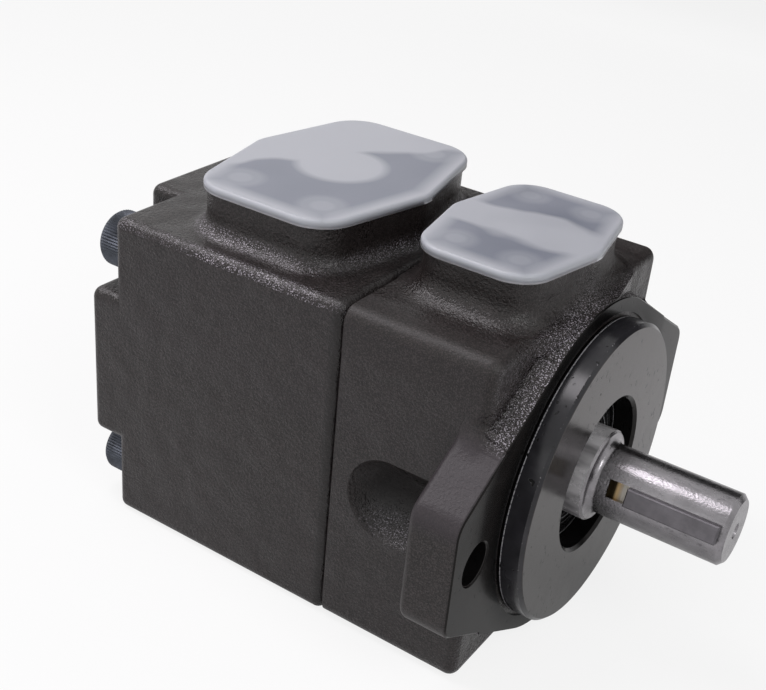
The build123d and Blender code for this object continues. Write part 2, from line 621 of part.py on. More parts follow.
def bearing_cage():
    """Cage that spaces the balls."""
    x = (BEARING_FRONT_X + BEARING_REAR_X) / 2
    half = CAGE_SHARE * BEARING_W / 2
    wall = 0.19 * BALL_D
    cage = collar(BALL_PITCH_R + wall, BALL_PITCH_R - wall, x - half, x + half)
    for k in range(BALL_COUNT):
        cage -= spun(Pos(x, BALL_PITCH_R, 0) * Sphere(BALL_D / 2 + RUN_GAP), 360 / BALL_COUNT * k)
    return cage


def open_ring(outer, inner, x0, x1, gap_deg, middle):
    """Retaining ring with a gap."""
    ring = collar(outer, inner, x0, x1)
    return ring - sector(outer + 1, inner - 1, x0 - 1, x1 + 1, middle, gap_deg)


def bearing_retaining_ring():
    """Circlip in the housing behind the bearing."""
    x = CIRCLIP_REAR_X + SEAT_GAP / 2
    return open_ring(BEARING_BORE_R + CIRCLIP_DEPTH - 0.1, BEARING_BORE_R - 2.5, x, x + CIRCLIP_T, 40, 270)


def shaft_snap_ring():
    """Snap ring on the shaft in front of the bearing."""
    x = BEARING_FRONT_X + SEAT_GAP
    return open_ring(COLLAR_R + 2.0, COLLAR_R - 0.75, x, x + SNAP_T, 50, 90)


# ---- shaft seal ----
def seal_case():
    """Steel case of the seal, open to the rear."""
    front = SEAL_FRONT_X
    rear = SEAL_FRONT_X - SEAL_W
    outer = SEAL_OD / 2
    return turned((rear, outer), (front, outer), (front, outer - SEAL_TURN_IN),
                  (front - 0.125 * SEAL_W, outer - SEAL_TURN_IN), (front - 0.2 * SEAL_W, outer - SEAL_SHEET),
                  (rear, outer - SEAL_SHEET))


def seal_lip():
    """Rubber body with a dust lip in front and a sprung lip behind."""
    front = SEAL_FRONT_X
    lip = COLLAR_R + RUN_GAP
    outer = SEAL_OD / 2 - SEAL_TURN_IN - SEAT_GAP
    wide, tall = seal_units()
    profile = [
        (0.9, outer), (0.4, outer - 0.3 * tall), (0.4, outer - 1.6 * tall), (1.3, outer - 2.0 * tall),
        (1.3, lip + 2.2 * tall), (0.5, lip + 1.6 * tall), (0.3, lip), (1.0, lip), (3.2, lip + 0.8 * tall),
        (5.2, lip + 0.4 * tall), (5.6, lip), (6.4, lip + 0.7 * tall), (6.6, lip + 1.8 * tall),
        (5.6, lip + 2.6 * tall), (3.6, lip + 2.2 * tall), (3.0, outer),
    ]
    return turned(*[(front - depth * wide, radius) for depth, radius in profile])


def seal_units():
    """An eighth of the seal's width, and a seventeenth of the space between its bore and outside."""
    return SEAL_W / 8, (SEAL_OD - COLLAR_D) / 17


def seal_spring():
    """Garter spring behind the main lip."""
    wide, tall = seal_units()
    return cord_ring(COLLAR_R + RUN_GAP + 3.3 * tall, 0.6 * tall, SEAL_FRONT_X - 5.5 * wide)


# ---- port caps ----
def port_cap(x, cap, spacing, tap_d):
    """Moulded plate with four pegs that plug into the port's tapped holes."""
    plate = extrude(Plane.XY.offset(PAD_Z) * Pos(x, 0) * pad_outline(*cap), amount=CAP_T)
    plate = fillet(plate.faces().sort_by(Axis.Z)[-1].edges(), CAP_EDGE_R)
    peg_r = tap_d / 2 - LOOSE_GAP
    for px, py in pattern(x, spacing):
        plate += Pos(px, py, PAD_Z - PEG_LENGTH / 2 + 0.5) * Cone(peg_r - 0.6, peg_r, PEG_LENGTH + 1)
        plate -= Pos(px, py, PAD_Z + CAP_T) * Cylinder(peg_r - 0.8, 2 * CAP_DIMPLE)
    return plate


def build():
    """Every node by name."""
    nodes = {
        "front_housing": front_housing(),
        "rear_cover": rear_cover(),
        "cover_screws": cover_screws(),
        "housing_o_ring": cord_ring(JOINT_RING_R, RING_SECTION / 2, JOINT_X + RING_SECTION / 2 + SEAT_GAP),
        "suction_cap": port_cap(SUCTION_X, SUCTION_CAP, SUCTION_PATTERN, SUCTION_TAP_D),
        "discharge_cap": port_cap(DISCHARGE_X, DISCHARGE_CAP, DISCHARGE_PATTERN, DISCHARGE_TAP_D),
        "drive_shaft": drive_shaft(),
        "shaft_key": shaft_key(),
        "rotor": rotor(),
        "cam_ring": cam_ring(),
        "front_side_plate": front_side_plate(),
        "rear_side_plate": rear_side_plate(),
        "rear_bush": rear_bush(),
        "plate_o_ring": o_ring_in_groove(SPIGOT_R, plate_ring_x()),
        "hub_seal_ring": o_ring_in_groove(hub_radius(), hub_ring_x()),
        "cartridge_screws": cartridge_screws(),
        "dowel_pins": dowel_pins(),
        "preload_spring": preload_spring(),
        "bearing_outer_race": bearing_outer_race(),
        "bearing_inner_race": bearing_inner_race(),
        "bearing_balls": bearing_balls(),
        "bearing_cage": bearing_cage(),
        "bearing_retaining_ring": bearing_retaining_ring(),
        "shaft_snap_ring": shaft_snap_ring(),
        "seal_case": seal_case(),
        "seal_lip": seal_lip(),
        "seal_spring": seal_spring(),
    }
    for k in range(VANES):
        nodes[f"vane_{k + 1:02d}"] = vane(k)
    return nodes


os.makedirs("parts", exist_ok=True)
for name, shape in build().items():
    solids = shape if isinstance(shape, list) else shape.solids()
    export_step(Compound(children=list(solids)), f"parts/{name}.step")
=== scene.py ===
"""Finishes, fine pieces and studio for the hydraulic vane pump.

Frame: X along the shaft with +X out of the drive end, Z up through the ports, metres.
"""

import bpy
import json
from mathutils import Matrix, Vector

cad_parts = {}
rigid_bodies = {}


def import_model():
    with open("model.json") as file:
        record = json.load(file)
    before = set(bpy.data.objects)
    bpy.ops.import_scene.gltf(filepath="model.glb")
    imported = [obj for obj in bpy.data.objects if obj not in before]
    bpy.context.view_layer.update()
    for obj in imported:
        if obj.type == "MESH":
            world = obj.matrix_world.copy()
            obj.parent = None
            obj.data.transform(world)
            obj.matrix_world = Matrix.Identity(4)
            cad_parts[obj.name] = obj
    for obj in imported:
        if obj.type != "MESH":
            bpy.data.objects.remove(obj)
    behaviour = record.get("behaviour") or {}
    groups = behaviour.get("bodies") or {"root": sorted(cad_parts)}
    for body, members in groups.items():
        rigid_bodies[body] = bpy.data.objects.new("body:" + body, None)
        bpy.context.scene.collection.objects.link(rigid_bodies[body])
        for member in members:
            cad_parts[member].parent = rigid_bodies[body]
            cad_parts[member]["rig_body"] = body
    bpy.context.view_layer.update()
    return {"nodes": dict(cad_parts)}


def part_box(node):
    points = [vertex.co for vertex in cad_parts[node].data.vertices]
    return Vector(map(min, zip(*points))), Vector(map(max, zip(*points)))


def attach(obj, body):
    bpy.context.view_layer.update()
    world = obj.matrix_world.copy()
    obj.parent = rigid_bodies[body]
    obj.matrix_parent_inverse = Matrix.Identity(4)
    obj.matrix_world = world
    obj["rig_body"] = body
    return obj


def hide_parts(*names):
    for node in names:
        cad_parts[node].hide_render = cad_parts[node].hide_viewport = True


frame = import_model()

import json
from collections import namedtuple
from math import asin, atan2, cos, hypot, pi, radians, sin
from types import SimpleNamespace

import bmesh
import bpy
from bpy.props import FloatProperty, FloatVectorProperty, IntProperty, PointerProperty
from bpy.types import Operator, Panel, PropertyGroup
from mathutils import Vector

bl_info = {
    "name": "Vane pump finishes",
    "version": (1, 0, 0),
    "blender": (4, 5, 0),
    "location": "3D View > Sidebar > Vane pump",
    "description": "Finishes, fine pieces and studio for a hydraulic vane pump",
    "category": "Object",
}

# places on the pump
JOINT_X = -0.0473
PAD_Z = 0.058
CAP_TOP = 0.0603
PILOT_R = 0.041275
PILOT_EDGE_X = 0.0055
BOLT_Y = 0.0532
BOLT_HOLE_R = 0.00556
BORE_R = 0.0212
FLOOR_Z = -0.0466
SCREW_NODE = "cover_screws"

# where one kind of cast face gives way to the next: the two ends of each soft edge
EAR_EDGE = (0.0445, 0.0475)
SKIRT_BACK = (-0.0066, -0.0052)
SKIRT_INSIDE = (0.0425, 0.0440)
ROOM_OUTSIDE = (0.0395, 0.0452)
ROOM_INSIDE = (0.026, 0.030)
ROOM_HEIGHT = (0.0150, 0.0175)
ROOM_X = (-0.0440, -0.0030)

# a cap: place along X, half width, half length and slope of its outline, margin of the painted shade inside it,
# port radius and its softness, spacing of the pegs along and across, and their radius
Cap = namedtuple("Cap", "x half_width half_length slope margin port soft spacing peg")
CAPS = {
    "suction_cap": Cap(-0.0815, 0.0285, 0.0365, 0.2126, 0.0036, 0.0122, 0.0015, (0.0262, 0.0524), 0.0036),
    "discharge_cap": Cap(-0.0251, 0.0211, 0.0280, 0.1890, 0.0034, 0.0078, 0.0012, (0.0175, 0.0381), 0.0030),
}


# ---- settings ----
class CastingSettings(PropertyGroup):
    """Paint and machined faces of the two castings."""
    paint: FloatVectorProperty(name="Paint", description="Colour of the painted iron", subtype="COLOR", size=3,
                               min=0, max=1, default=(0.0170, 0.0132, 0.0124))
    machined: FloatVectorProperty(name="Machined iron", description="Colour of the bare machined faces",
                                  subtype="COLOR", size=3, min=0, max=1, default=(0.090, 0.084, 0.083))
    grain: FloatProperty(name="Grain", description="Length of the cast grain", unit="LENGTH", default=0.0011,
                         min=0.0002, max=0.01)
    rim: FloatProperty(name="Rim radius", description="Rim of the flange", unit="LENGTH", default=0.0462)
    half_width: FloatProperty(name="Half width", description="Half the casting's width", unit="LENGTH", default=0.045)
    ear_thickness: FloatProperty(name="Ear thickness", description="Thickness of an ear", unit="LENGTH",
                                 default=0.0133)
    ear_corner: FloatProperty(name="Ear corner", description="Radius of an ear's corner", unit="LENGTH", default=0.006)
    ear_reach: FloatProperty(name="Ear reach", description="Shaft to the ear's corner centre, across", unit="LENGTH",
                             default=0.058)
    ear_rise: FloatProperty(name="Ear rise", description="Shaft to the ear's corner centre, upwards", unit="LENGTH",
                            default=0.012)


class ScrewSettings(PropertyGroup):
    """Socket-head cap screws of the rear casting."""
    head_radius: FloatProperty(name="Head radius", description="Outside of the knurl", unit="LENGTH", default=0.008)
    head_height: FloatProperty(name="Head height", description="Height of the head", unit="LENGTH", default=0.010)
    shank_radius: FloatProperty(name="Shank radius", description="Radius of the shank", unit="LENGTH", default=0.005)
    teeth: IntProperty(name="Knurl teeth", description="Flutes round the head", default=60, min=12, max=90)
    socket: FloatProperty(name="Socket", description="Across the flats of the hexagon", unit="LENGTH", default=0.008)
    steel: FloatVectorProperty(name="Steel", description="Colour of the oiled black steel", subtype="COLOR", size=3,
                               min=0, max=1, default=(0.058, 0.064, 0.078))


class SealSettings(PropertyGroup):
    """Shaft seal."""
    rubber: FloatVectorProperty(name="Rubber", description="Colour of the rubber", subtype="COLOR", size=3,
                                min=0, max=1, default=(0.0035, 0.0035, 0.0037))
    ribs: IntProperty(name="Ribs", description="Raised rings on the face", default=3, min=1, max=6)


class ShaftSettings(PropertyGroup):
    """Drive shaft and key."""
    steel: FloatVectorProperty(name="Ground steel", description="Colour of the ground shaft", subtype="COLOR", size=3,
                               min=0, max=1, default=(0.255, 0.245, 0.257))
    key: FloatVectorProperty(name="Key steel", description="Colour of the key", subtype="COLOR", size=3,
                             min=0, max=1, default=(0.125, 0.118, 0.128))
    tint: FloatVectorProperty(name="Keyway tint", description="Colour of the preserving oil in the keyway",
                              subtype="COLOR", size=3, min=0, max=1, default=(0.42, 0.30, 0.16))


class CapSettings(PropertyGroup):
    """Plastic port caps."""
    milky: FloatVectorProperty(name="Milky plastic", description="Colour where air lies under the cap",
                               subtype="COLOR", size=3, min=0, max=1, default=(0.425, 0.438, 0.475))
    # painted shade: the darker colour where the iron beneath seems to show through
    shade_over_iron: FloatVectorProperty(name="Wetted plastic", description="Colour where oil joins the cap to the iron",
                                subtype="COLOR", size=3, min=0, max=1, default=(0.200, 0.215, 0.260))


class StudioSettings(PropertyGroup):
    """Floor, lamps and camera."""
    floor: FloatVectorProperty(name="Floor", description="Colour of the floor", subtype="COLOR", size=3,
                               min=0, max=1, default=(0.92, 0.92, 0.92))
    key_power: FloatProperty(name="Key lamp", description="Power of the large overhead lamp", unit="POWER",
                             default=3.5, min=0)
    fill_power: FloatProperty(name="Fill lamp", description="Power of the lamp beside the camera", unit="POWER",
                              default=0.7, min=0)
    rim_power: FloatProperty(name="Rim lamp", description="Power of the lamp behind the shaft end", unit="POWER",
                             default=1.2, min=0)
    lens: FloatProperty(name="Lens", description="Focal length", unit="CAMERA", default=58.518)


class PumpSettings(PropertyGroup):
    """All settings."""
    casting: PointerProperty(type=CastingSettings)
    screws: PointerProperty(type=ScrewSettings)
    seal: PointerProperty(type=SealSettings)
    shaft: PointerProperty(type=ShaftSettings)
    caps: PointerProperty(type=CapSettings)
    studio: PointerProperty(type=StudioSettings)


# ---- material helpers ----
class Nodes:
    """Short names for the nodes of one tree. A value is a socket, a number or a colour."""

    def __init__(self, tree):
        self.tree = tree

    def fill(self, socket, value):
        """Links a socket to another, or sets it."""
        if isinstance(value, bpy.types.NodeSocket):
            self.tree.links.new(value, socket)
        elif socket.type == "RGBA":
            socket.default_value = (*value[:3], 1)
        else:
            socket.default_value = value

    def add(self, kind, **values):
        """A node with its inputs filled."""
        made = self.tree.nodes.new(kind)
        for key, value in values.items():
            self.fill(made.inputs[key.replace("_", " ")], value)
        return made

    def ramp(self, value, low, high, start=0.0, end=1.0):
        """value from low..high mapped to start..end, clamped."""
        made = self.add("ShaderNodeMapRange", Value=value, From_Min=low, From_Max=high, To_Min=start, To_Max=end)
        return made.outputs["Result"]

    def maths(self, operation, first, second=0.0):
        """One maths step."""
        made = self.tree.nodes.new("ShaderNodeMath")
        made.operation = operation
        self.fill(made.inputs[0], first)
        self.fill(made.inputs[1], second)
        return made.outputs["Value"]

    def times(self, first, *others):
        """Product."""
        for other in others:
            first = self.maths("MULTIPLY", first, other)
        return first

    def most(self, first, second):
        """The larger."""
        return self.maths("MAXIMUM", first, second)

    def plus(self, first, second):
        """Sum."""
        return self.maths("ADD", first, second)

    def less(self, first, second):
        """Difference."""
        return self.maths("SUBTRACT", first, second)

    def rest(self, share):
        """What a share leaves of 1."""
        return self.less(1.0, share)

    def above(self, value, limit):
        """1 above the limit and 0 below it."""
        return self.maths("GREATER_THAN", value, limit)

    def below(self, value, limit):
        """1 below the limit and 0 above it."""
        return self.maths("LESS_THAN", value, limit)

    def size(self, value):
        """The value without its sign."""
        return self.maths("ABSOLUTE", value)

    def reach(self, first, second):
        """Length of the step that has these two parts."""
        return self.maths("SQRT", self.plus(self.maths("POWER", first, 2.0), self.maths("POWER", second, 2.0)))

    def mix(self, share, first, second):
        """Colour from first to second."""
        made = self.tree.nodes.new("ShaderNodeMix")
        made.data_type = "RGBA"
        for socket, value in ((made.inputs["Factor"], share), (made.inputs[6], first), (made.inputs[7], second)):
            self.fill(socket, value)
        return made.outputs[2]

    def between(self, share, first, second):
        """Number from first to second."""
        made = self.tree.nodes.new("ShaderNodeMix")
        made.data_type = "FLOAT"
        for socket, value in ((made.inputs[0], share), (made.inputs[2], first), (made.inputs[3], second)):
            self.fill(socket, value)
        return made.outputs[0]


class Finish(Nodes):
    """A material under construction."""

    def __init__(self, name, colour, roughness, metallic=0.0):
        self.material = bpy.data.materials.new(name)
        self.material.use_nodes = True
        super().__init__(self.material.node_tree)
        self.shader = self.tree.nodes["Principled BSDF"]
        self.shader.inputs["Base Color"].default_value = (*colour, 1)
        self.shader.inputs["Roughness"].default_value = roughness
        self.shader.inputs["Metallic"].default_value = metallic
        self.place = self.tree.nodes.new("ShaderNodeTexCoord").outputs["Object"]

    def axes(self):
        """The three Object coordinates."""
        made = self.add("ShaderNodeSeparateXYZ", Vector=self.place)
        return made.outputs["X"], made.outputs["Y"], made.outputs["Z"]

    def stretched(self, x, y, z):
        """Object coordinates scaled along each axis."""
        return self.add("ShaderNodeMapping", Vector=self.place, Scale=(x, y, z)).outputs["Vector"]

    def noise(self, length, detail=3.0, roughness=0.5, vector=None):
        """Noise whose features are about that long, 0 to 1."""
        made = self.add("ShaderNodeTexNoise", Vector=vector or self.place, Scale=1.0 / length, Detail=detail,
                        Roughness=roughness)
        return made.outputs["Fac"]

    def bump(self, height, depth, normal=None):
        """Bump of that depth in metres, on top of another."""
        made = self.add("ShaderNodeBump", Height=height, Strength=1.0, Distance=depth)
        if normal is not None:
            self.fill(made.inputs["Normal"], normal)
        return made.outputs["Normal"]

    def clouded(self, pattern, colour, dark, light):
        """A colour that a pattern makes darker and lighter."""
        return self.mix(self.ramp(pattern, 0.3, 0.7), shade(colour, dark), shade(colour, light))

    def use(self, name, socket):
        """Links a socket to the shader."""
        self.fill(self.shader.inputs[name], socket)

    def fixed(self, **values):
        """Constants on the shader's own sockets."""
        for key, value in values.items():
            self.shader.inputs[key.replace("_", " ")].default_value = value
        return self


def shade(colour, factor):
    """A colour made darker or lighter."""
    return tuple(min(1.0, channel * factor) for channel in colour)


def paint(node_names, material):
    """Gives CAD nodes one finish."""
    for name in node_names:
        mesh = frame["nodes"][name].data
        mesh.materials.clear()
        mesh.materials.append(material)


# ---- finishes ----
def iron_zones(finish):
    """Share of each kind of face, from where a point lies on the castings."""
    x, y, z = finish.axes()
    side = finish.size(y)
    radius = finish.reach(y, z)
    # machined faces: the flange with the pilot in front of it, and the two port faces
    front = finish.above(x, -0.00035)
    machined = finish.most(front, finish.above(z, PAD_Z - 0.0002))
    pilot = finish.times(finish.above(x, 0.0003), finish.below(radius, 0.0414))
    pilot_wall = finish.times(pilot, finish.above(radius, PILOT_R - 0.00085))
    # painted shade: the two bolt holes, the shaft's bore and the mouth round it are painted dark
    from_bolt = finish.reach(finish.less(side, BOLT_Y), z)
    bolt_hole = finish.times(finish.below(from_bolt, BOLT_HOLE_R), finish.below(x, -0.0004))
    bore = finish.times(finish.below(radius, BORE_R), finish.above(x, -0.04), finish.below(x, PILOT_EDGE_X))
    shaded_mouth = finish.times(finish.below(radius, BORE_R + 0.0007), finish.ramp(x, 0.0, 0.0001), 0.7)
    dark = finish.most(finish.most(bolt_hole, bore), shaded_mouth)
    # cast faces: the ears are the smoothest, the flange's skirt the glossiest, the room behind an ear the dullest, and
    # its colour holds painted shade
    ear = finish.ramp(side, *EAR_EDGE)
    skirt = finish.times(finish.ramp(x, *SKIRT_BACK), finish.ramp(radius, *SKIRT_INSIDE), finish.rest(ear))
    room = finish.times(finish.ramp(side, *ROOM_OUTSIDE, 1.0, 0.0), finish.ramp(side, *ROOM_INSIDE),
                        finish.ramp(finish.size(z), *ROOM_HEIGHT, 1.0, 0.0),
                        finish.above(x, ROOM_X[0]), finish.below(x, ROOM_X[1]))
    upper_room = finish.times(room, finish.ramp(z, -0.0080, -0.0010))
    # the drive-end casting's long upper edges are rubbed smoother than the rest
    rubbed = finish.times(finish.ramp(z, 0.034, 0.038), finish.ramp(side, 0.034, 0.038), finish.above(x, JOINT_X))
    bare_steel = finish.times(pilot, finish.rest(pilot_wall), finish.rest(dark))
    return SimpleNamespace(
        x=x, y=y, z=z, side=side, radius=radius, front=front, machined=machined, pilot=pilot,
        pilot_wall=pilot_wall, dark=dark, ear=ear, skirt=skirt, room=room, upper_room=upper_room,
        lower_room=finish.less(room, upper_room), rubbed=rubbed, bare_steel=bare_steel,
        shade_by_pilot=finish.ramp(radius, 0.0430, 0.0490, 0.9, 0.0))


def painted_glints(finish, zones, broad, grit):
    """Painted glints: bright grain tips on the flange's skirt, low in the room and along the foot of the suction pad.
    """
    x, y, z = zones.x, zones.y, zones.z
    skirt = finish.times(zones.skirt, finish.ramp(x, -0.0054, -0.0024, 0.25, 1.0),
                         finish.ramp(y, -0.012, 0.004, 1.0, 0.3))
    room = finish.times(zones.room, finish.ramp(z, -0.0130, -0.0065, 1.0, 0.0))
    foot = finish.times(finish.ramp(z, 0.0466, 0.0473), finish.ramp(z, 0.0485, 0.0505, 1.0, 0.0))
    edge = finish.times(finish.above(z, 0.0440), finish.ramp(zones.side, 0.0415, 0.0430))
    rear = finish.times(finish.ramp(broad, 0.35, 0.6, 0.15, 0.9), finish.below(x, JOINT_X))
    share = finish.most(finish.most(skirt, room), finish.times(finish.most(foot, edge), rear))
    return finish.times(share, finish.ramp(grit, 0.58, 0.68, 0.0, 0.75))


def cast_colour(finish, zones, tone, grains):
    """Paint: broad clouds, a light bloom on the grain's tips and dark specks between them, with painted shade, painted
    glints and a painted sheen.
    """
    colour = finish.clouded(grains.broad, tone, 0.85, 1.15)
    colour = finish.mix(finish.ramp(grains.sand, 0.50, 0.74, 0.0, 0.7), colour, (0.050, 0.041, 0.042))
    colour = finish.mix(finish.ramp(grains.sand, 0.30, 0.50, 0.8, 0.0), colour, shade(tone, 0.30))
    colour = finish.mix(finish.ramp(grains.specks, 0.61, 0.68, 0.0, 0.85), colour, (0.003, 0.0026, 0.0026))
    # painted shade: the room behind an ear is darkened
    colour = finish.mix(finish.times(zones.room, 0.78), colour, shade(tone, 0.2))
    # painted glints: light specks on the grain
    glint = painted_glints(finish, zones, grains.broad, grains.grit)
    colour = finish.mix(glint, colour, (0.60, 0.55, 0.62))
    # painted sheen: the ears' slanted tops are lighter and more purple
    slanted = finish.times(zones.ear, finish.ramp(zones.z, 0.0095, 0.0140, 0.0, 0.6))
    colour = finish.mix(slanted, colour, (0.036, 0.029, 0.035))
    # painted shade: a dark band on the rear casting beside the joint
    joint_shade_band = finish.ramp(finish.size(finish.plus(zones.x, 0.0491)), 0.0010, 0.0020, 1.0, 0.0)
    return finish.mix(finish.times(joint_shade_band, 0.55), colour, shade(tone, 0.3))


def machined_colour(finish, zones, cast, tone, specks, cloud, pores):
    """Machined iron over the cast faces' colour, with painted highlights at the pilot's edges and painted shade on the
    pilot and in the holes.
    """
    bare = finish.mix(cloud, shade(tone, 0.86), shade(tone, 1.12))
    # painted shade: the pilot's face darkens towards the bottom
    bare = finish.mix(finish.ramp(zones.z, -0.042, 0.014, 0.74, 0.10), bare, shade(tone, 0.35))
    flange = finish.mix(cloud, (0.0070, 0.0060, 0.0056), (0.0105, 0.0090, 0.0084))
    # painted shade: the flange darkens towards the pilot
    flange = finish.mix(zones.shade_by_pilot, flange, (0.0015, 0.0015, 0.0015))
    colour = finish.mix(zones.machined, cast, flange)
    colour = finish.mix(zones.pilot, colour, bare)
    # painted shade: the pilot's wall is painted nearly black
    shaded_wall = finish.mix(cloud, (0.014, 0.0135, 0.0160), (0.025, 0.024, 0.028))
    colour = finish.mix(zones.pilot_wall, colour, shaded_wall)
    # painted highlights: a bright broken line at the pilot's root, and a few bright dots on its front edge
    root = finish.below(finish.size(finish.less(zones.x, 0.00055)), 0.00012)
    root = finish.times(root, finish.ramp(specks, 0.36, 0.50, 0.25, 1.0))
    edge = finish.below(finish.size(finish.less(zones.x, PILOT_EDGE_X)), 0.00014)
    edge = finish.times(edge, finish.ramp(specks, 0.64, 0.74, 0.0, 0.5))
    edge_highlights = finish.times(finish.most(root, edge), finish.above(zones.radius, 0.0411), zones.pilot)
    colour = finish.mix(edge_highlights, colour, (0.45, 0.44, 0.46))
    colour = finish.mix(finish.times(zones.machined, pores), colour, (0.006, 0.006, 0.006))
    # painted shade: the holes and the bore are painted nearly black
    return finish.mix(finish.times(zones.dark, 0.92), colour, (0.003, 0.003, 0.003))


def painted_iron(settings):
    """Painted cast iron with a pebbly grain, darker machined flange and satin pilot face, with painted shade, painted
    glints and a painted sheen.
    """
    finish = Finish("painted_iron", settings.paint, 0.4)
    zones = iron_zones(finish)
    grain = settings.grain
    grains = SimpleNamespace(
        broad=finish.noise(0.020, 3.0, 0.55), lumps=finish.noise(grain * 5.5, 0.5, 0.4),
        pebbles=finish.noise(grain * 0.80, 1.0, 0.5), sand=finish.noise(grain * 0.27, 0.0, 0.5),
        specks=finish.noise(grain * 0.42, 0.6, 0.5, finish.stretched(1.0, 1.07, 0.94)),
        grit=finish.noise(grain * 0.30, 0.3, 0.5, finish.stretched(0.93, 1.0, 1.08)))
    cloud = finish.ramp(finish.noise(0.006, 3.0, 0.6), 0.3, 0.7)
    pores = finish.ramp(finish.noise(0.0012, 0.0, 0.4, finish.stretched(1.0, 1.0, 0.6)), 0.772, 0.797)
    cast = cast_colour(finish, zones, settings.paint, grains)
    finish.use("Base Color", machined_colour(finish, zones, cast, settings.machined, grains.specks, cloud, pores))
    finish.use("Metallic", finish.times(zones.bare_steel, 0.75))
    # the flange near the pilot, whose colour holds painted shade, shines less than the paint, and the bolt holes and
    # the bore, painted dark as shade, hardly at all
    shine = finish.between(zones.front, finish.between(zones.ear, 0.36, 0.34),
                           finish.between(zones.pilot_wall, 0.12, 0.34))
    dulled = finish.times(zones.front, zones.shade_by_pilot, finish.between(zones.pilot, 0.6, 0.0))
    far_skirt = finish.times(zones.skirt, finish.ramp(zones.y, 0.018, 0.030))
    shine = finish.times(shine, finish.rest(dulled), finish.between(far_skirt, 1.0, 0.55),
                         finish.rest(finish.times(zones.upper_room, 0.6)))
    finish.use("Specular IOR Level", finish.between(zones.dark, shine, 0.03))
    gloss = finish.between(zones.rubbed, finish.ramp(grains.lumps, 0.35, 0.65, 0.27, 0.38), 0.50)
    gloss = finish.between(zones.ear, finish.between(zones.skirt, gloss, 0.22), 0.46)
    gloss = finish.between(zones.lower_room, gloss, 0.24)
    gloss = finish.between(zones.front, gloss, finish.ramp(cloud, 0.0, 1.0, 0.17, 0.24))
    finish.use("Roughness", finish.between(zones.bare_steel, gloss, finish.ramp(cloud, 0.0, 1.0, 0.17, 0.25)))
    # the grain stands out most on the skirt and low in the room; machined faces have rings and pores instead
    relief = finish.plus(finish.between(zones.ear, 1.0, 0.45), finish.most(zones.skirt, zones.lower_room))
    relief = finish.times(relief, finish.rest(finish.times(zones.rubbed, 0.55)), finish.rest(zones.machined))
    normal = None
    for pattern, depth in ((grains.lumps, 0.00055), (grains.pebbles, 0.00021), (grains.sand, 0.00010)):
        normal = finish.bump(finish.times(relief, pattern), depth, normal)
    rings = finish.noise(0.0005, 1.0, 0.5, finish.add("ShaderNodeCombineXYZ", X=zones.radius).outputs["Vector"])
    normal = finish.bump(finish.times(zones.bare_steel, rings), 0.000004, normal)
    normal = finish.bump(finish.rest(finish.times(zones.machined, pores)), 0.00012, normal)
    finish.use("Normal", normal)
    return finish.material


def oiled_black_steel(settings):
    """Black-oxide steel, slightly blue, with a dry bloom."""
    finish = Finish("oiled_black_steel", settings.steel, 0.38, 0.75)
    cloud = finish.noise(0.004, 4.0, 0.6)
    grain = finish.noise(0.0006, 3.0, 0.6)
    colour = finish.clouded(cloud, settings.steel, 0.6, 1.5)
    finish.use("Base Color", finish.mix(finish.ramp(grain, 0.6, 0.8, 0, 0.6), colour, shade(settings.steel, 3.0)))
    finish.use("Roughness", finish.ramp(cloud, 0.3, 0.7, 0.30, 0.50))
    finish.use("Normal", finish.bump(grain, 0.00003))
    return finish.material


def ground_steel(settings):
    """Ground shaft: fine marks round it, a few streaks and a film of oil, with a painted reflection on the journal and
    a painted shadow in the keyway.
    """
    finish = Finish("ground_steel", settings.steel, 0.2, 1.0)
    x, y, z = finish.axes()
    marks = finish.noise(0.00022, 2.0, 0.7, finish.stretched(1.0, 0.06, 0.06))
    streaks = finish.noise(0.0026, 4.0, 0.6, finish.stretched(0.35, 1.0, 1.0))
    film = finish.noise(0.006, 4.0, 0.65)
    colour = finish.clouded(streaks, settings.steel, 0.78, 1.15)
    radius = finish.reach(y, z)
    keyway = finish.times(finish.below(radius, 0.0092), finish.below(x, 0.0177), finish.above(x, 0.0082))
    # painted shadow: the keyway is nearly black towards the casting, then takes the oil's colour, then pale grey
    tint = finish.mix(finish.ramp(x, 0.0137, 0.0143), shade(settings.tint, 0.04), settings.tint)
    tint = finish.mix(finish.ramp(x, 0.0145, 0.0156), tint, (0.46, 0.43, 0.39))
    stains = finish.ramp(finish.noise(0.0011, 2.0, 0.6, finish.stretched(0.5, 1.0, 1.0)), 0.62, 0.74, 0.0, 0.55)
    colour = finish.mix(stains, colour, shade(settings.steel, 0.35))
    # painted reflection: light and dark bands on the journal inside the seal's bore, which is also less metallic
    journal = finish.times(finish.above(radius, 0.0118), finish.below(x, 0.0069))
    bands = finish.ramp(finish.noise(0.0036, 2.0, 0.5, finish.stretched(0.3, 1.0, 1.0)), 0.35, 0.65)
    colour = finish.mix(journal, colour, finish.mix(bands, (0.30, 0.29, 0.30), (0.78, 0.76, 0.78)))
    finish.use("Metallic", finish.between(journal, 1.0, 0.25))
    finish.use("Base Color", finish.mix(keyway, colour, tint))
    finish.use("Roughness", finish.between(keyway, finish.ramp(film, 0.3, 0.72, 0.20, 0.33), 0.5))
    pits = finish.noise(0.00045, 1.0, 0.5, finish.stretched(0.6, 1.0, 1.0))
    normal = finish.bump(marks, 0.000012)
    normal = finish.bump(film, 0.00002, normal)
    normal = finish.bump(pits, 0.000040, normal)
    finish.use("Normal", normal)
    return finish.material


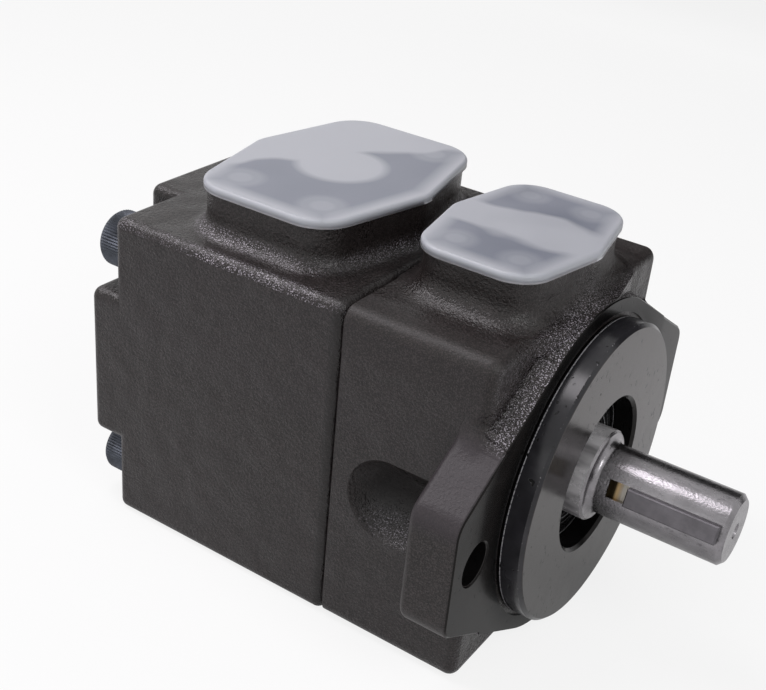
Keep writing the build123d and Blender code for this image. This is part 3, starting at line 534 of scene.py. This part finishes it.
def key_steel(settings):
    """Drawn key steel, matte, with faint lengthwise marks."""
    finish = Finish("key_steel", settings.key, 0.42, 1.0)
    marks = finish.noise(0.0005, 3.0, 0.6, finish.stretched(0.08, 1.0, 1.0))
    cloud = finish.noise(0.003, 3.0, 0.6)
    finish.use("Base Color", finish.clouded(cloud, settings.key, 0.8, 1.25))
    finish.use("Roughness", finish.ramp(cloud, 0.3, 0.7, 0.36, 0.5))
    finish.use("Normal", finish.bump(marks, 0.000012))
    return finish.material


def seal_rubber(settings):
    """Oiled black rubber with painted highlights."""
    finish = Finish("seal_rubber", settings.rubber, 0.28).fixed(Specular_IOR_Level=0.12)
    dust = finish.noise(0.0016, 4.0, 0.6)
    _, y, z = finish.axes()
    radius = finish.reach(y, z)
    colour = finish.mix(finish.ramp(dust, 0.5, 0.8, 0, 0.5), settings.rubber, shade(settings.rubber, 2.4))
    # painted highlights: thin light rings on the seal's face, where its ribs and lip would catch the light
    for ring, width in ((0.0151, 0.00012), (0.0168, 0.00016), (0.0183, 0.00010), (0.0199, 0.00010)):
        line = finish.size(finish.less(radius, ring))
        colour = finish.mix(finish.ramp(line, width, width * 1.6, 0.8, 0.0), colour, (0.34, 0.34, 0.35))
    finish.use("Base Color", colour)
    finish.use("Roughness", finish.ramp(dust, 0.3, 0.7, 0.2, 0.38))
    finish.use("Normal", finish.bump(dust, 0.00002))
    return finish.material


def cap_plastic(settings, node, film):
    """Milky polythene, with painted shade where the iron beneath seems to show through, and a painted highlight along
    its lower edge.
    """
    finish = Finish(node + "_plastic", settings.milky, 0.36)
    finish.fixed(Subsurface_Weight=0.35, Subsurface_Scale=0.004, IOR=1.5)
    finish.shader.inputs["Subsurface Radius"].default_value = (0.9, 0.95, 1.0)
    x, y, z = finish.axes()
    cloud = finish.noise(0.013, 0.6, 0.4)
    wobble = finish.times(finish.less(cloud, 0.5), 0.012)
    cap = CAPS[node]
    across = finish.less(x, cap.x)
    # the painted shade stays clear of the outline, of the port and half clear of the pegs, and shows on top only
    share = finish.times(inside_outline(finish, across, y, cap), film(finish, across, y, wobble),
                         finish.rest(disc(finish, across, y, (0.0, 0.0), cap.port, cap.soft)),
                         finish.rest(finish.times(peg_marks(finish, across, y, cap), 0.5)),
                         finish.ramp(z, PAD_Z + 0.0012, PAD_Z + 0.0021))
    colour = finish.mix(share, settings.milky, settings.shade_over_iron)
    # painted highlight: the lower edge, clear of the painted shade, is the brightest line of the cap
    colour = finish.mix(finish.ramp(z, PAD_Z + 0.0003, PAD_Z + 0.0006, 1.0, 0.0), colour, (0.70, 0.70, 0.74))
    finish.use("Base Color", finish.mix(finish.ramp(cloud, 0.3, 0.7, 0.0, 0.10), colour, (0.56, 0.565, 0.60)))
    finish.use("Roughness", finish.ramp(cloud, 0.3, 0.7, 0.34, 0.44))
    finish.use("Normal", finish.bump(finish.noise(0.0009, 3.0, 0.6), 0.000012))
    return finish.material


def inside_outline(finish, across, y, cap):
    """1 well inside the cap's outline and 0 near its edge, which is a six-sided plate."""
    along = finish.size(y)
    slanted = finish.plus(finish.size(across), finish.times(along, cap.slope))
    side = finish.less(cap.half_width - cap.margin, slanted)
    end = finish.less(cap.half_length - cap.margin, along)
    return finish.ramp(finish.maths("MINIMUM", side, end), -0.0018, 0.0022)


def disc(finish, across, y, centre, radius, soft):
    """1 inside a disc on the cap."""
    far = finish.reach(finish.less(across, centre[0]), finish.less(y, centre[1]))
    return finish.ramp(far, radius - soft, radius + soft, 1.0, 0.0)


def peg_marks(finish, across, y, cap):
    """Lighter spots over the cap's four pegs."""
    total = 0.0
    for i in (-1, 1):
        for j in (-1, 1):
            centre = (i * cap.spacing[0] / 2, j * cap.spacing[1] / 2)
            spot = finish.times(disc(finish, across, y, centre, cap.peg * 1.75, 0.0012), 0.6)
            inner = finish.times(disc(finish, across, y, centre, cap.peg * 0.85, 0.0006), 0.4)
            total = finish.most(total, finish.plus(spot, inner))
    return total


def suction_cap_shade(finish, across, y, wobble):
    """Painted shade under the suction cap: all but the rear far quarter, which a slanting line cuts off."""
    line = finish.plus(finish.times(across, -0.81), finish.times(y, 0.59))
    return finish.ramp(finish.plus(line, wobble), 0.0058, 0.0084, 1.0, 0.0)


def discharge_cap_shade(finish, across, y, wobble):
    """Painted shade under the discharge cap: two bands with a clear strip between them."""
    return finish.ramp(finish.plus(finish.size(y), wobble), 0.0066, 0.0096)


def plain_metal(name, colour, roughness, metallic=1.0, length=0.0007):
    """Turned or hardened steel inside the pump."""
    finish = Finish(name, colour, roughness, metallic)
    cloud = finish.noise(0.005, 4.0, 0.6)
    marks = finish.noise(length, 3.0, 0.6, finish.stretched(1.0, 0.15, 0.15))
    finish.use("Base Color", finish.clouded(cloud, colour, 0.82, 1.12))
    finish.use("Roughness", finish.ramp(cloud, 0.3, 0.7, roughness * 0.8, roughness * 1.25))
    finish.use("Normal", finish.bump(marks, 0.00001))
    return finish.material


# ---- modelling helpers ----
def clear_selection():
    """Leaves edit mode and deselects everything."""
    if bpy.context.mode != "OBJECT":
        bpy.ops.object.mode_set(mode="OBJECT")
    bpy.ops.object.select_all(action="DESELECT")


def pick(thing):
    """Makes one object the only selected and active one."""
    clear_selection()
    thing.select_set(True)
    bpy.context.view_layer.objects.active = thing


def choose(thing, test, kind="FACE"):
    """In edit mode, selects the faces or vertices that pass the test, and nothing else."""
    bpy.ops.mesh.select_mode(type=kind)
    bpy.ops.mesh.select_all(action="DESELECT")
    mesh = bmesh.from_edit_mesh(thing.data)
    items = mesh.faces if kind == "FACE" else mesh.verts
    for item in items:
        if test(item):
            item.select_set(True)
    mesh.select_flush_mode()
    bmesh.update_edit_mesh(thing.data)


def settle(thing, name, material):
    """Puts the finished piece's place into its mesh, names it and gives it its finish."""
    pick(thing)
    bpy.ops.object.transform_apply(location=True, rotation=True, scale=True)
    thing.name = name
    thing.data.name = name
    thing.data.materials.clear()
    thing.data.materials.append(material)
    return thing


def smooth(thing, degrees=35):
    """Smooth shading up to an angle."""
    pick(thing)
    bpy.ops.object.shade_smooth_by_angle(angle=radians(degrees))


def apply_all(thing):
    """Applies every modifier in turn."""
    pick(thing)
    for modifier in list(thing.modifiers):
        bpy.ops.object.modifier_apply(modifier=modifier.name)


def joined(things):
    """Joins several objects into the first."""
    clear_selection()
    for thing in things:
        thing.select_set(True)
    bpy.context.view_layer.objects.active = things[0]
    bpy.ops.object.join()
    return things[0]


def recalculated(thing):
    """Merges doubles and turns the normals outwards."""
    pick(thing)
    bpy.ops.object.mode_set(mode="EDIT")
    bpy.ops.mesh.select_all(action="SELECT")
    bpy.ops.mesh.remove_doubles(threshold=1e-6)
    bpy.ops.mesh.normals_make_consistent(inside=False)
    bpy.ops.object.mode_set(mode="OBJECT")
    return thing


def spun_ring(points, steps=128):
    """Closed ring about the shaft from (x, radius) points, spun from a flat profile."""
    clear_selection()
    bpy.ops.mesh.primitive_circle_add(vertices=len(points), radius=1.0, location=(0, 0, 0))
    thing = bpy.context.active_object
    for vertex, (x, radius) in zip(thing.data.vertices, points):
        vertex.co = (x, radius, 0.0)
    bpy.ops.object.mode_set(mode="EDIT")
    bpy.ops.mesh.select_all(action="SELECT")
    bpy.ops.mesh.spin(steps=steps, angle=2 * pi, center=(0, 0, 0), axis=(1, 0, 0), dupli=False)
    bpy.ops.object.mode_set(mode="OBJECT")
    return recalculated(thing)


def merged_copy(node):
    """A copy of a CAD node with its loose triangles merged into one skin."""
    source = frame["nodes"][node]
    thing = bpy.data.objects.new(node + "_copy", source.data.copy())
    bpy.context.scene.collection.objects.link(thing)
    pick(thing)
    bpy.ops.object.mode_set(mode="EDIT")
    bpy.ops.mesh.select_all(action="SELECT")
    bpy.ops.mesh.remove_doubles(threshold=1e-6)
    bpy.ops.object.mode_set(mode="OBJECT")
    return thing


def in_sink_mark(cap, place):
    """Whether a point lies over one of a cap's four pegs."""
    along = abs(abs(place.x - cap.x) - cap.spacing[0] / 2)
    across = abs(abs(place.y) - cap.spacing[1] / 2)
    return along < 0.004 and across < 0.004


# ---- pieces ----
def cut_hexagon(head, across_flats, depth, outer):
    """Cuts a hexagon socket along X into the head's outer end."""
    clear_selection()
    bpy.ops.mesh.primitive_cylinder_add(vertices=6, radius=across_flats / 2 / cos(pi / 6), depth=2 * depth,
                                        location=(outer, 0, 0), rotation=(0, pi / 2, 0))
    socket = bpy.context.active_object
    bpy.ops.object.transform_apply(location=True, rotation=True, scale=True)
    cut = head.modifiers.new("socket", "BOOLEAN")
    cut.operation = "DIFFERENCE"
    cut.object = socket
    cut.solver = "EXACT"
    apply_all(head)
    pick(socket)
    bpy.ops.object.delete()


def knurled_screw(settings, shank_end, seat):
    """One socket-head cap screw about the X axis, its head towards -X."""
    count = 2 * settings.teeth
    radius = settings.head_radius
    height = settings.head_height
    outer = seat - height
    rim_share, flute_share = 0.93, 0.955
    rim_rise, knurl_start = 0.0001, 0.0007
    clear_selection()
    bpy.ops.mesh.primitive_cylinder_add(vertices=count, radius=radius, depth=height, end_fill_type="NGON",
                                        location=(seat - height / 2, 0, 0), rotation=(0, -pi / 2, 0))
    head = bpy.context.active_object
    bpy.ops.object.transform_apply(location=True, rotation=True, scale=True)
    bpy.ops.object.mode_set(mode="EDIT")

    def flute(vertex):
        index = round(atan2(vertex.co.z, vertex.co.y) / (2 * pi) * count)
        return index % 2 == 1 and hypot(vertex.co.y, vertex.co.z) > radius * 0.97

    def top_of_knurl(vertex):
        return vertex.co.x < outer + 1e-5 and hypot(vertex.co.y, vertex.co.z) > radius * 0.94

    # the outer end keeps a plain rim, then the knurl runs down to the seat
    choose(head, lambda face: face.normal.x < -0.9)
    bpy.ops.mesh.extrude_region_move(TRANSFORM_OT_translate={"value": (-rim_rise, 0, 0)})
    bpy.ops.transform.resize(value=(1, rim_share, rim_share), center_override=(0, 0, 0))
    choose(head, flute, "VERT")
    bpy.ops.transform.resize(value=(1, flute_share, flute_share), center_override=(0, 0, 0))
    choose(head, top_of_knurl, "VERT")
    bpy.ops.transform.translate(value=(knurl_start, 0, 0))
    choose(head, lambda face: face.normal.x < -0.9 and len(face.verts) > 8)
    bpy.ops.mesh.inset(thickness=0.0007)
    # the shank grows out of the seat
    choose(head, lambda face: face.normal.x > 0.9 and len(face.verts) > 8)
    bpy.ops.mesh.inset(thickness=radius - settings.shank_radius)
    bpy.ops.mesh.extrude_region_move(TRANSFORM_OT_translate={"value": (shank_end - seat, 0, 0)})
    bpy.ops.object.mode_set(mode="OBJECT")
    cut_hexagon(head, settings.socket, settings.head_height / 2, outer)
    return recalculated(head)


def ear_fairing(settings, side, half):
    """Cove that leads one sloping edge of an ear into the casting's side and into the flange's rim."""
    slope = asin((settings.rim - settings.ear_corner) / hypot(settings.ear_reach, settings.ear_rise))
    slope -= atan2(settings.ear_rise, settings.ear_reach)
    along = Vector((0, cos(slope), sin(slope)))
    out = Vector((0, -sin(slope), cos(slope)))
    width = settings.half_width
    root = Vector((0, -width, (settings.rim - width * sin(slope)) / cos(slope)))
    back = -settings.ear_thickness
    back_edge = 0.002
    # place along X, run down the ear, run along and height above the ear's edge on the casting's side
    stations = [(back + 0.0001, 0.0030, 0.0010, 0.0004), (back + 0.0006, 0.0052, 0.0022, 0.0030),
                (back + 0.0016, 0.0068, 0.0029, 0.0047), (back + 0.0030, 0.0074, 0.0031, 0.0052),
                (-0.0086, 0.0076, 0.0033, 0.0052), (-0.0070, 0.0078, 0.0041, 0.0047),
                (-0.0062, 0.0079, 0.0047, 0.0034), (-0.0052, 0.0080, 0.0052, 0.0021),
                (-0.0040, 0.0082, 0.0052, 0.00125), (-0.0025, 0.0082, 0.0046, 0.00076),
                (-0.0012, 0.0080, 0.0040, 0.00034), (-0.0007, 0.0078, 0.0035, 0.00015)]
    steps = 12
    clear_selection()
    bpy.ops.mesh.primitive_grid_add(x_subdivisions=steps, y_subdivisions=len(stations) - 1, size=1.0)
    thing = bpy.context.active_object
    vertices = thing.data.vertices
    for row, (place, down, run, height) in enumerate(stations):
        # the ear's back edge is rounded, so the cove drops with it there
        fall = max(0.0, (back + back_edge) - place)
        drop = back_edge - max(0.0, back_edge ** 2 - fall ** 2) ** 0.5
        foot = root - along * down - out * (0.00004 + drop)
        knee = root - out * drop * 0.6
        top = root + along * run + out * height
        for column in range(steps + 1):
            t = column / steps
            point = foot * (1 - t) ** 2 + knee * 2 * t * (1 - t) + top * t * t
            vertices[row * (steps + 1) + column].co = (place, point.y * -side, point.z * half)
    # the skin gets its thickness inwards, into the iron
    pick(thing)
    bpy.ops.object.mode_set(mode="EDIT")
    bpy.ops.mesh.select_all(action="SELECT")
    bpy.ops.mesh.extrude_region_move(TRANSFORM_OT_translate={"value": (0, -side * 0.0012, -half * 0.0014)})
    bpy.ops.object.mode_set(mode="OBJECT")
    return recalculated(thing)


class PUMP_OT_castings(Operator):
    """Paint and machine the two castings, and lead the ears into the flange's rim"""
    bl_idname = "pump.castings"
    bl_label = "Castings"

    def execute(self, context):
        settings = context.scene.pump.casting
        material = painted_iron(settings)
        paint(["front_housing", "rear_cover"], material)
        fairings = [ear_fairing(settings, side, half) for side in (-1, 1) for half in (-1, 1)]
        whole = joined(fairings)
        smooth(whole, 50)
        whole = settle(whole, "ear_fairings", material)
        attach(whole, frame["nodes"]["front_housing"]["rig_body"])
        return {"FINISHED"}


class PUMP_OT_cover_screws(Operator):
    """Model the knurled socket-head screws of the rear casting"""
    bl_idname = "pump.cover_screws"
    bl_label = "Cover screws"

    def execute(self, context):
        settings = context.scene.pump.screws
        low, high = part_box(SCREW_NODE)
        seat = low[0] + settings.head_height + 0.0001
        first = knurled_screw(settings, high[0], seat)
        smooth(first, 30)
        y = high[1] - settings.head_radius
        z = high[2] - settings.head_radius
        screws = []
        for j in (-1, 1):
            for k in (-1, 1):
                copy = first.copy()
                copy.data = first.data.copy()
                bpy.context.scene.collection.objects.link(copy)
                copy.location = (0, j * y, k * z)
                copy.rotation_euler = (0.4 * j + 0.9 * k, 0, 0)
                screws.append(copy)
        pick(first)
        bpy.ops.object.delete()
        whole = settle(joined(screws), "cover_screws_knurled", oiled_black_steel(settings))
        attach(whole, "housing")
        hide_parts(SCREW_NODE)
        return {"FINISHED"}


class PUMP_OT_shaft_seal(Operator):
    """Model the ribbed face of the shaft seal and finish its parts"""
    bl_idname = "pump.shaft_seal"
    bl_label = "Shaft seal"

    def execute(self, context):
        settings = context.scene.pump.seal
        rubber = seal_rubber(settings)
        paint(["seal_case", "seal_lip", "housing_o_ring", "plate_o_ring", "hub_seal_ring"], rubber)
        low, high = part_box("seal_case")
        front, outer = 0.0004, high[1]
        step = outer - 0.0023
        inner, lip = 0.0141, 0.01262
        case = spun_ring([(low[0], outer), (front - 0.0005, outer), (front, outer - 0.0005), (front, step),
                          (front - 0.0006, step), (low[0] + 0.0004, outer - 0.0012), (low[0], outer - 0.0012)], 128)
        smooth(case, 40)
        case = settle(case, "seal_case_pressed_home", rubber)
        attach(case, frame["nodes"]["seal_case"]["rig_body"])
        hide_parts("seal_case")
        points = [(front - 0.0009, step - 0.0001)]
        span = (step - 0.0001 - inner) / settings.ribs
        for rib in reversed(range(settings.ribs)):
            for depth, share in ((0.0006, 0.85), (0.0001, 0.70), (0.0001, 0.60), (0.0006, 0.42), (0.0006, 0.10)):
                points.append((front - depth, inner + (rib + share) * span))
        points += [(front - 0.0010, inner), (front - 0.0026, lip), (front - 0.0030, lip),
                   (front - 0.0013, inner + 0.0004), (front - 0.0013, step - 0.0001)]
        ring = spun_ring(points, 128)
        smooth(ring, 50)
        ring = settle(ring, "seal_face_ribs", rubber)
        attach(ring, frame["nodes"]["seal_lip"]["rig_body"])
        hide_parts("seal_lip")
        return {"FINISHED"}


class PUMP_OT_drive_shaft(Operator):
    """Finish the ground shaft and its key"""
    bl_idname = "pump.drive_shaft"
    bl_label = "Drive shaft"

    def execute(self, context):
        settings = context.scene.pump.shaft
        paint(["drive_shaft"], ground_steel(settings))
        paint(["shaft_key"], key_steel(settings))
        return {"FINISHED"}


class PUMP_OT_port_caps(Operator):
    """Finish the two plastic port caps"""
    bl_idname = "pump.port_caps"
    bl_label = "Port caps"

    def execute(self, context):
        settings = context.scene.pump.caps
        for node, film in (("suction_cap", suction_cap_shade), ("discharge_cap", discharge_cap_shade)):
            plastic = cap_plastic(settings, node, film)
            paint([node], plastic)
            cap = merged_copy(node)
            bpy.ops.object.mode_set(mode="EDIT")
            # the sink marks over the pegs are too shallow to be more than a change of tone
            choose(cap, lambda vertex: vertex.co.z > CAP_TOP - 0.0008 and in_sink_mark(CAPS[node], vertex.co), "VERT")
            bpy.ops.transform.resize(value=(1, 1, 0), center_override=(0, 0, CAP_TOP))
            choose(cap, lambda face: all(vertex.co.z > CAP_TOP - 0.00001 for vertex in face.verts))
            bpy.ops.mesh.dissolve_limited(angle_limit=radians(1))
            bpy.ops.object.mode_set(mode="OBJECT")
            smooth(cap, 40)
            cap.modifiers.new("flat_top", "WEIGHTED_NORMAL").keep_sharp = True
            apply_all(cap)
            settle(cap, node + "_moulded", plastic)
            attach(cap, frame["nodes"][node]["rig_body"])
            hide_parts(node)
        return {"FINISHED"}


class PUMP_OT_inner_parts(Operator):
    """Finish the cartridge, the bearing and the other parts inside"""
    bl_idname = "pump.inner_parts"
    bl_label = "Inner parts"

    def execute(self, context):
        hard = plain_metal("hardened_steel", (0.42, 0.41, 0.42), 0.24)
        bearing = plain_metal("bearing_steel", (0.62, 0.61, 0.62), 0.14)
        plate = plain_metal("port_plate_iron", (0.30, 0.29, 0.285), 0.36, 1.0, 0.0005)
        bronze = plain_metal("bush_bronze", (0.52, 0.33, 0.14), 0.34)
        spring = plain_metal("spring_steel", (0.20, 0.19, 0.185), 0.32)
        paint(["rotor", "cam_ring", "dowel_pins"] + ["vane_%02d" % k for k in range(1, 13)], hard)
        paint(["bearing_outer_race", "bearing_inner_race", "bearing_balls"], bearing)
        paint(["front_side_plate", "rear_side_plate"], plate)
        paint(["rear_bush"], bronze)
        paint(["preload_spring", "bearing_cage", "bearing_retaining_ring", "shaft_snap_ring", "seal_spring",
               "cartridge_screws"], spring)
        return {"FINISHED"}


def area_lamp(name, place, target, size, power, colour=(1, 1, 1)):
    """Soft rectangular lamp aimed at a point."""
    clear_selection()
    bpy.ops.object.light_add(type="AREA", location=place)
    lamp = bpy.context.active_object
    lamp.name = name
    lamp.data.shape = "RECTANGLE"
    lamp.data.size = size[0]
    lamp.data.size_y = size[1]
    lamp.data.energy = power
    lamp.data.color = colour
    aim = Vector(target) - Vector(place)
    lamp.rotation_euler = aim.to_track_quat("-Z", "Y").to_euler()
    return lamp


def seen_share(nodes, direct, mirrored):
    """One number for what the camera sees, another for reflections and 0 for other light."""
    path = nodes.add("ShaderNodeLightPath").outputs
    seen = nodes.most(path["Is Camera Ray"], path["Is Transmission Ray"])
    return nodes.most(nodes.times(seen, direct), nodes.times(path["Is Glossy Ray"], mirrored))


def studio_plane(name, colour, roughness, **place):
    """A plane of one plain colour that isn't part of the pump."""
    clear_selection()
    bpy.ops.mesh.primitive_plane_add(**place)
    plane = bpy.context.active_object
    plane.name = name
    material = bpy.data.materials.new(name + "_plain")
    material.use_nodes = True
    shader = material.node_tree.nodes["Principled BSDF"]
    shader.inputs["Base Color"].default_value = (*colour, 1)
    shader.inputs["Roughness"].default_value = roughness
    plane.data.materials.append(material)
    return plane, shader


def white_world(world):
    """Even light from all round, white where the camera looks past the floor."""
    world.use_nodes = True
    nodes = Nodes(world.node_tree)
    nodes.tree.nodes.clear()
    strength = nodes.ramp(seen_share(nodes, 1.0, 0.86), 0.0, 1.0, 0.34, 1.0)
    background = nodes.add("ShaderNodeBackground", Color=(1, 1, 1), Strength=strength)
    nodes.add("ShaderNodeOutputWorld", Surface=background.outputs[0])


def main_camera(settings):
    """Camera that looks down on the near front corner."""
    data = bpy.data.cameras.new("camera")
    data.lens = settings.lens
    data.sensor_width = 36.0
    data.clip_start = 0.01
    data.clip_end = 50.0
    camera = bpy.data.objects.new("camera", data)
    camera.location = (0.096516, -0.261133, 0.179898)
    camera.rotation_euler = (1.067004, -0.085224, 0.595157)
    return camera


class PUMP_OT_studio(Operator):
    """Build the pale floor, the lamps, the world and the camera"""
    bl_idname = "pump.studio"
    bl_label = "Studio"

    def execute(self, context):
        settings = context.scene.pump.studio
        scene = context.scene
        floor, shader = studio_plane("studio_floor", settings.floor, 0.9, size=8.0, location=(0, 0, FLOOR_Z))
        shader.inputs["Specular IOR Level"].default_value = 0.1
        nodes = Nodes(floor.active_material.node_tree)
        glow = nodes.add("ShaderNodeEmission", Strength=1.0)
        mixer = nodes.add("ShaderNodeMixShader", Fac=seen_share(nodes, 0.84, 0.30))
        nodes.fill(mixer.inputs[1], shader.outputs[0])
        nodes.fill(mixer.inputs[2], glow.outputs[0])
        nodes.fill(nodes.tree.nodes["Material Output"].inputs["Surface"], mixer.outputs[0])
        middle = (-0.045, 0, 0.005)
        lamps = [
            area_lamp("key_lamp", (-0.42, -0.12, 0.66), middle, (0.26, 0.66), settings.key_power, (1.0, 0.955, 1.0)),
            area_lamp("fill_lamp", (-0.25, -0.85, 0.30), middle, (0.7, 0.5), settings.fill_power),
            area_lamp("rim_lamp", (0.42, -0.22, 0.52), (0, 0, 0), (0.25, 0.25), settings.rim_power),
        ]
        # a dark card behind the pump, out of the camera's sight, keeps the top faces deep
        card, _ = studio_plane("studio_card", (0.02, 0.02, 0.02), 1.0, size=1.0, location=(0.07, 0.62, 0.30),
                               rotation=(pi / 2, 0, 0))
        card.scale = (0.88, 0.53, 1.0)
        card.visible_camera = False
        bpy.ops.object.transform_apply(location=True, rotation=True, scale=True)
        scene.world = bpy.data.worlds.new("studio_world")
        white_world(scene.world)
        scene.camera = main_camera(settings)
        scene.collection.objects.link(scene.camera)
        scene.view_settings.view_transform = "Standard"
        return {"FINISHED"}


class PUMP_PT_panel(Panel):
    """Lists the pump's pieces and their settings"""
    bl_idname = "PUMP_PT_panel"
    bl_label = "Vane pump"
    bl_space_type = "VIEW_3D"
    bl_region_type = "UI"
    bl_category = "Vane pump"

    def draw(self, context):
        pump = context.scene.pump
        for title, group, operator in PANEL_ROWS:
            box = self.layout.box()
            box.label(text=title)
            if group:
                values = getattr(pump, group)
                for name in values.__annotations__:
                    box.prop(values, name)
            box.operator(operator)


PANEL_ROWS = (
    ("Castings", "casting", "pump.castings"),
    ("Cover screws", "screws", "pump.cover_screws"),
    ("Shaft seal", "seal", "pump.shaft_seal"),
    ("Drive shaft", "shaft", "pump.drive_shaft"),
    ("Port caps", "caps", "pump.port_caps"),
    ("Inner parts", "", "pump.inner_parts"),
    ("Studio", "studio", "pump.studio"),
)

CLASSES = (
    CastingSettings, ScrewSettings, SealSettings, ShaftSettings, CapSettings, StudioSettings, PumpSettings,
    PUMP_OT_castings, PUMP_OT_cover_screws, PUMP_OT_shaft_seal, PUMP_OT_drive_shaft, PUMP_OT_port_caps,
    PUMP_OT_inner_parts, PUMP_OT_studio, PUMP_PT_panel,
)


def register():
    """Registers the classes and the scene's settings."""
    for item in CLASSES:
        bpy.utils.register_class(item)
    bpy.types.Scene.pump = PointerProperty(type=PumpSettings)


def unregister():
    """Removes them again."""
    del bpy.types.Scene.pump
    for item in reversed(CLASSES):
        bpy.utils.unregister_class(item)


def main():
    """Registers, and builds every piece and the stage."""
    register()
    bpy.ops.pump.castings()
    bpy.ops.pump.cover_screws()
    bpy.ops.pump.shaft_seal()
    bpy.ops.pump.drive_shaft()
    bpy.ops.pump.port_caps()
    bpy.ops.pump.inner_parts()
    bpy.ops.pump.studio()


if __name__ == "__main__":
    main()
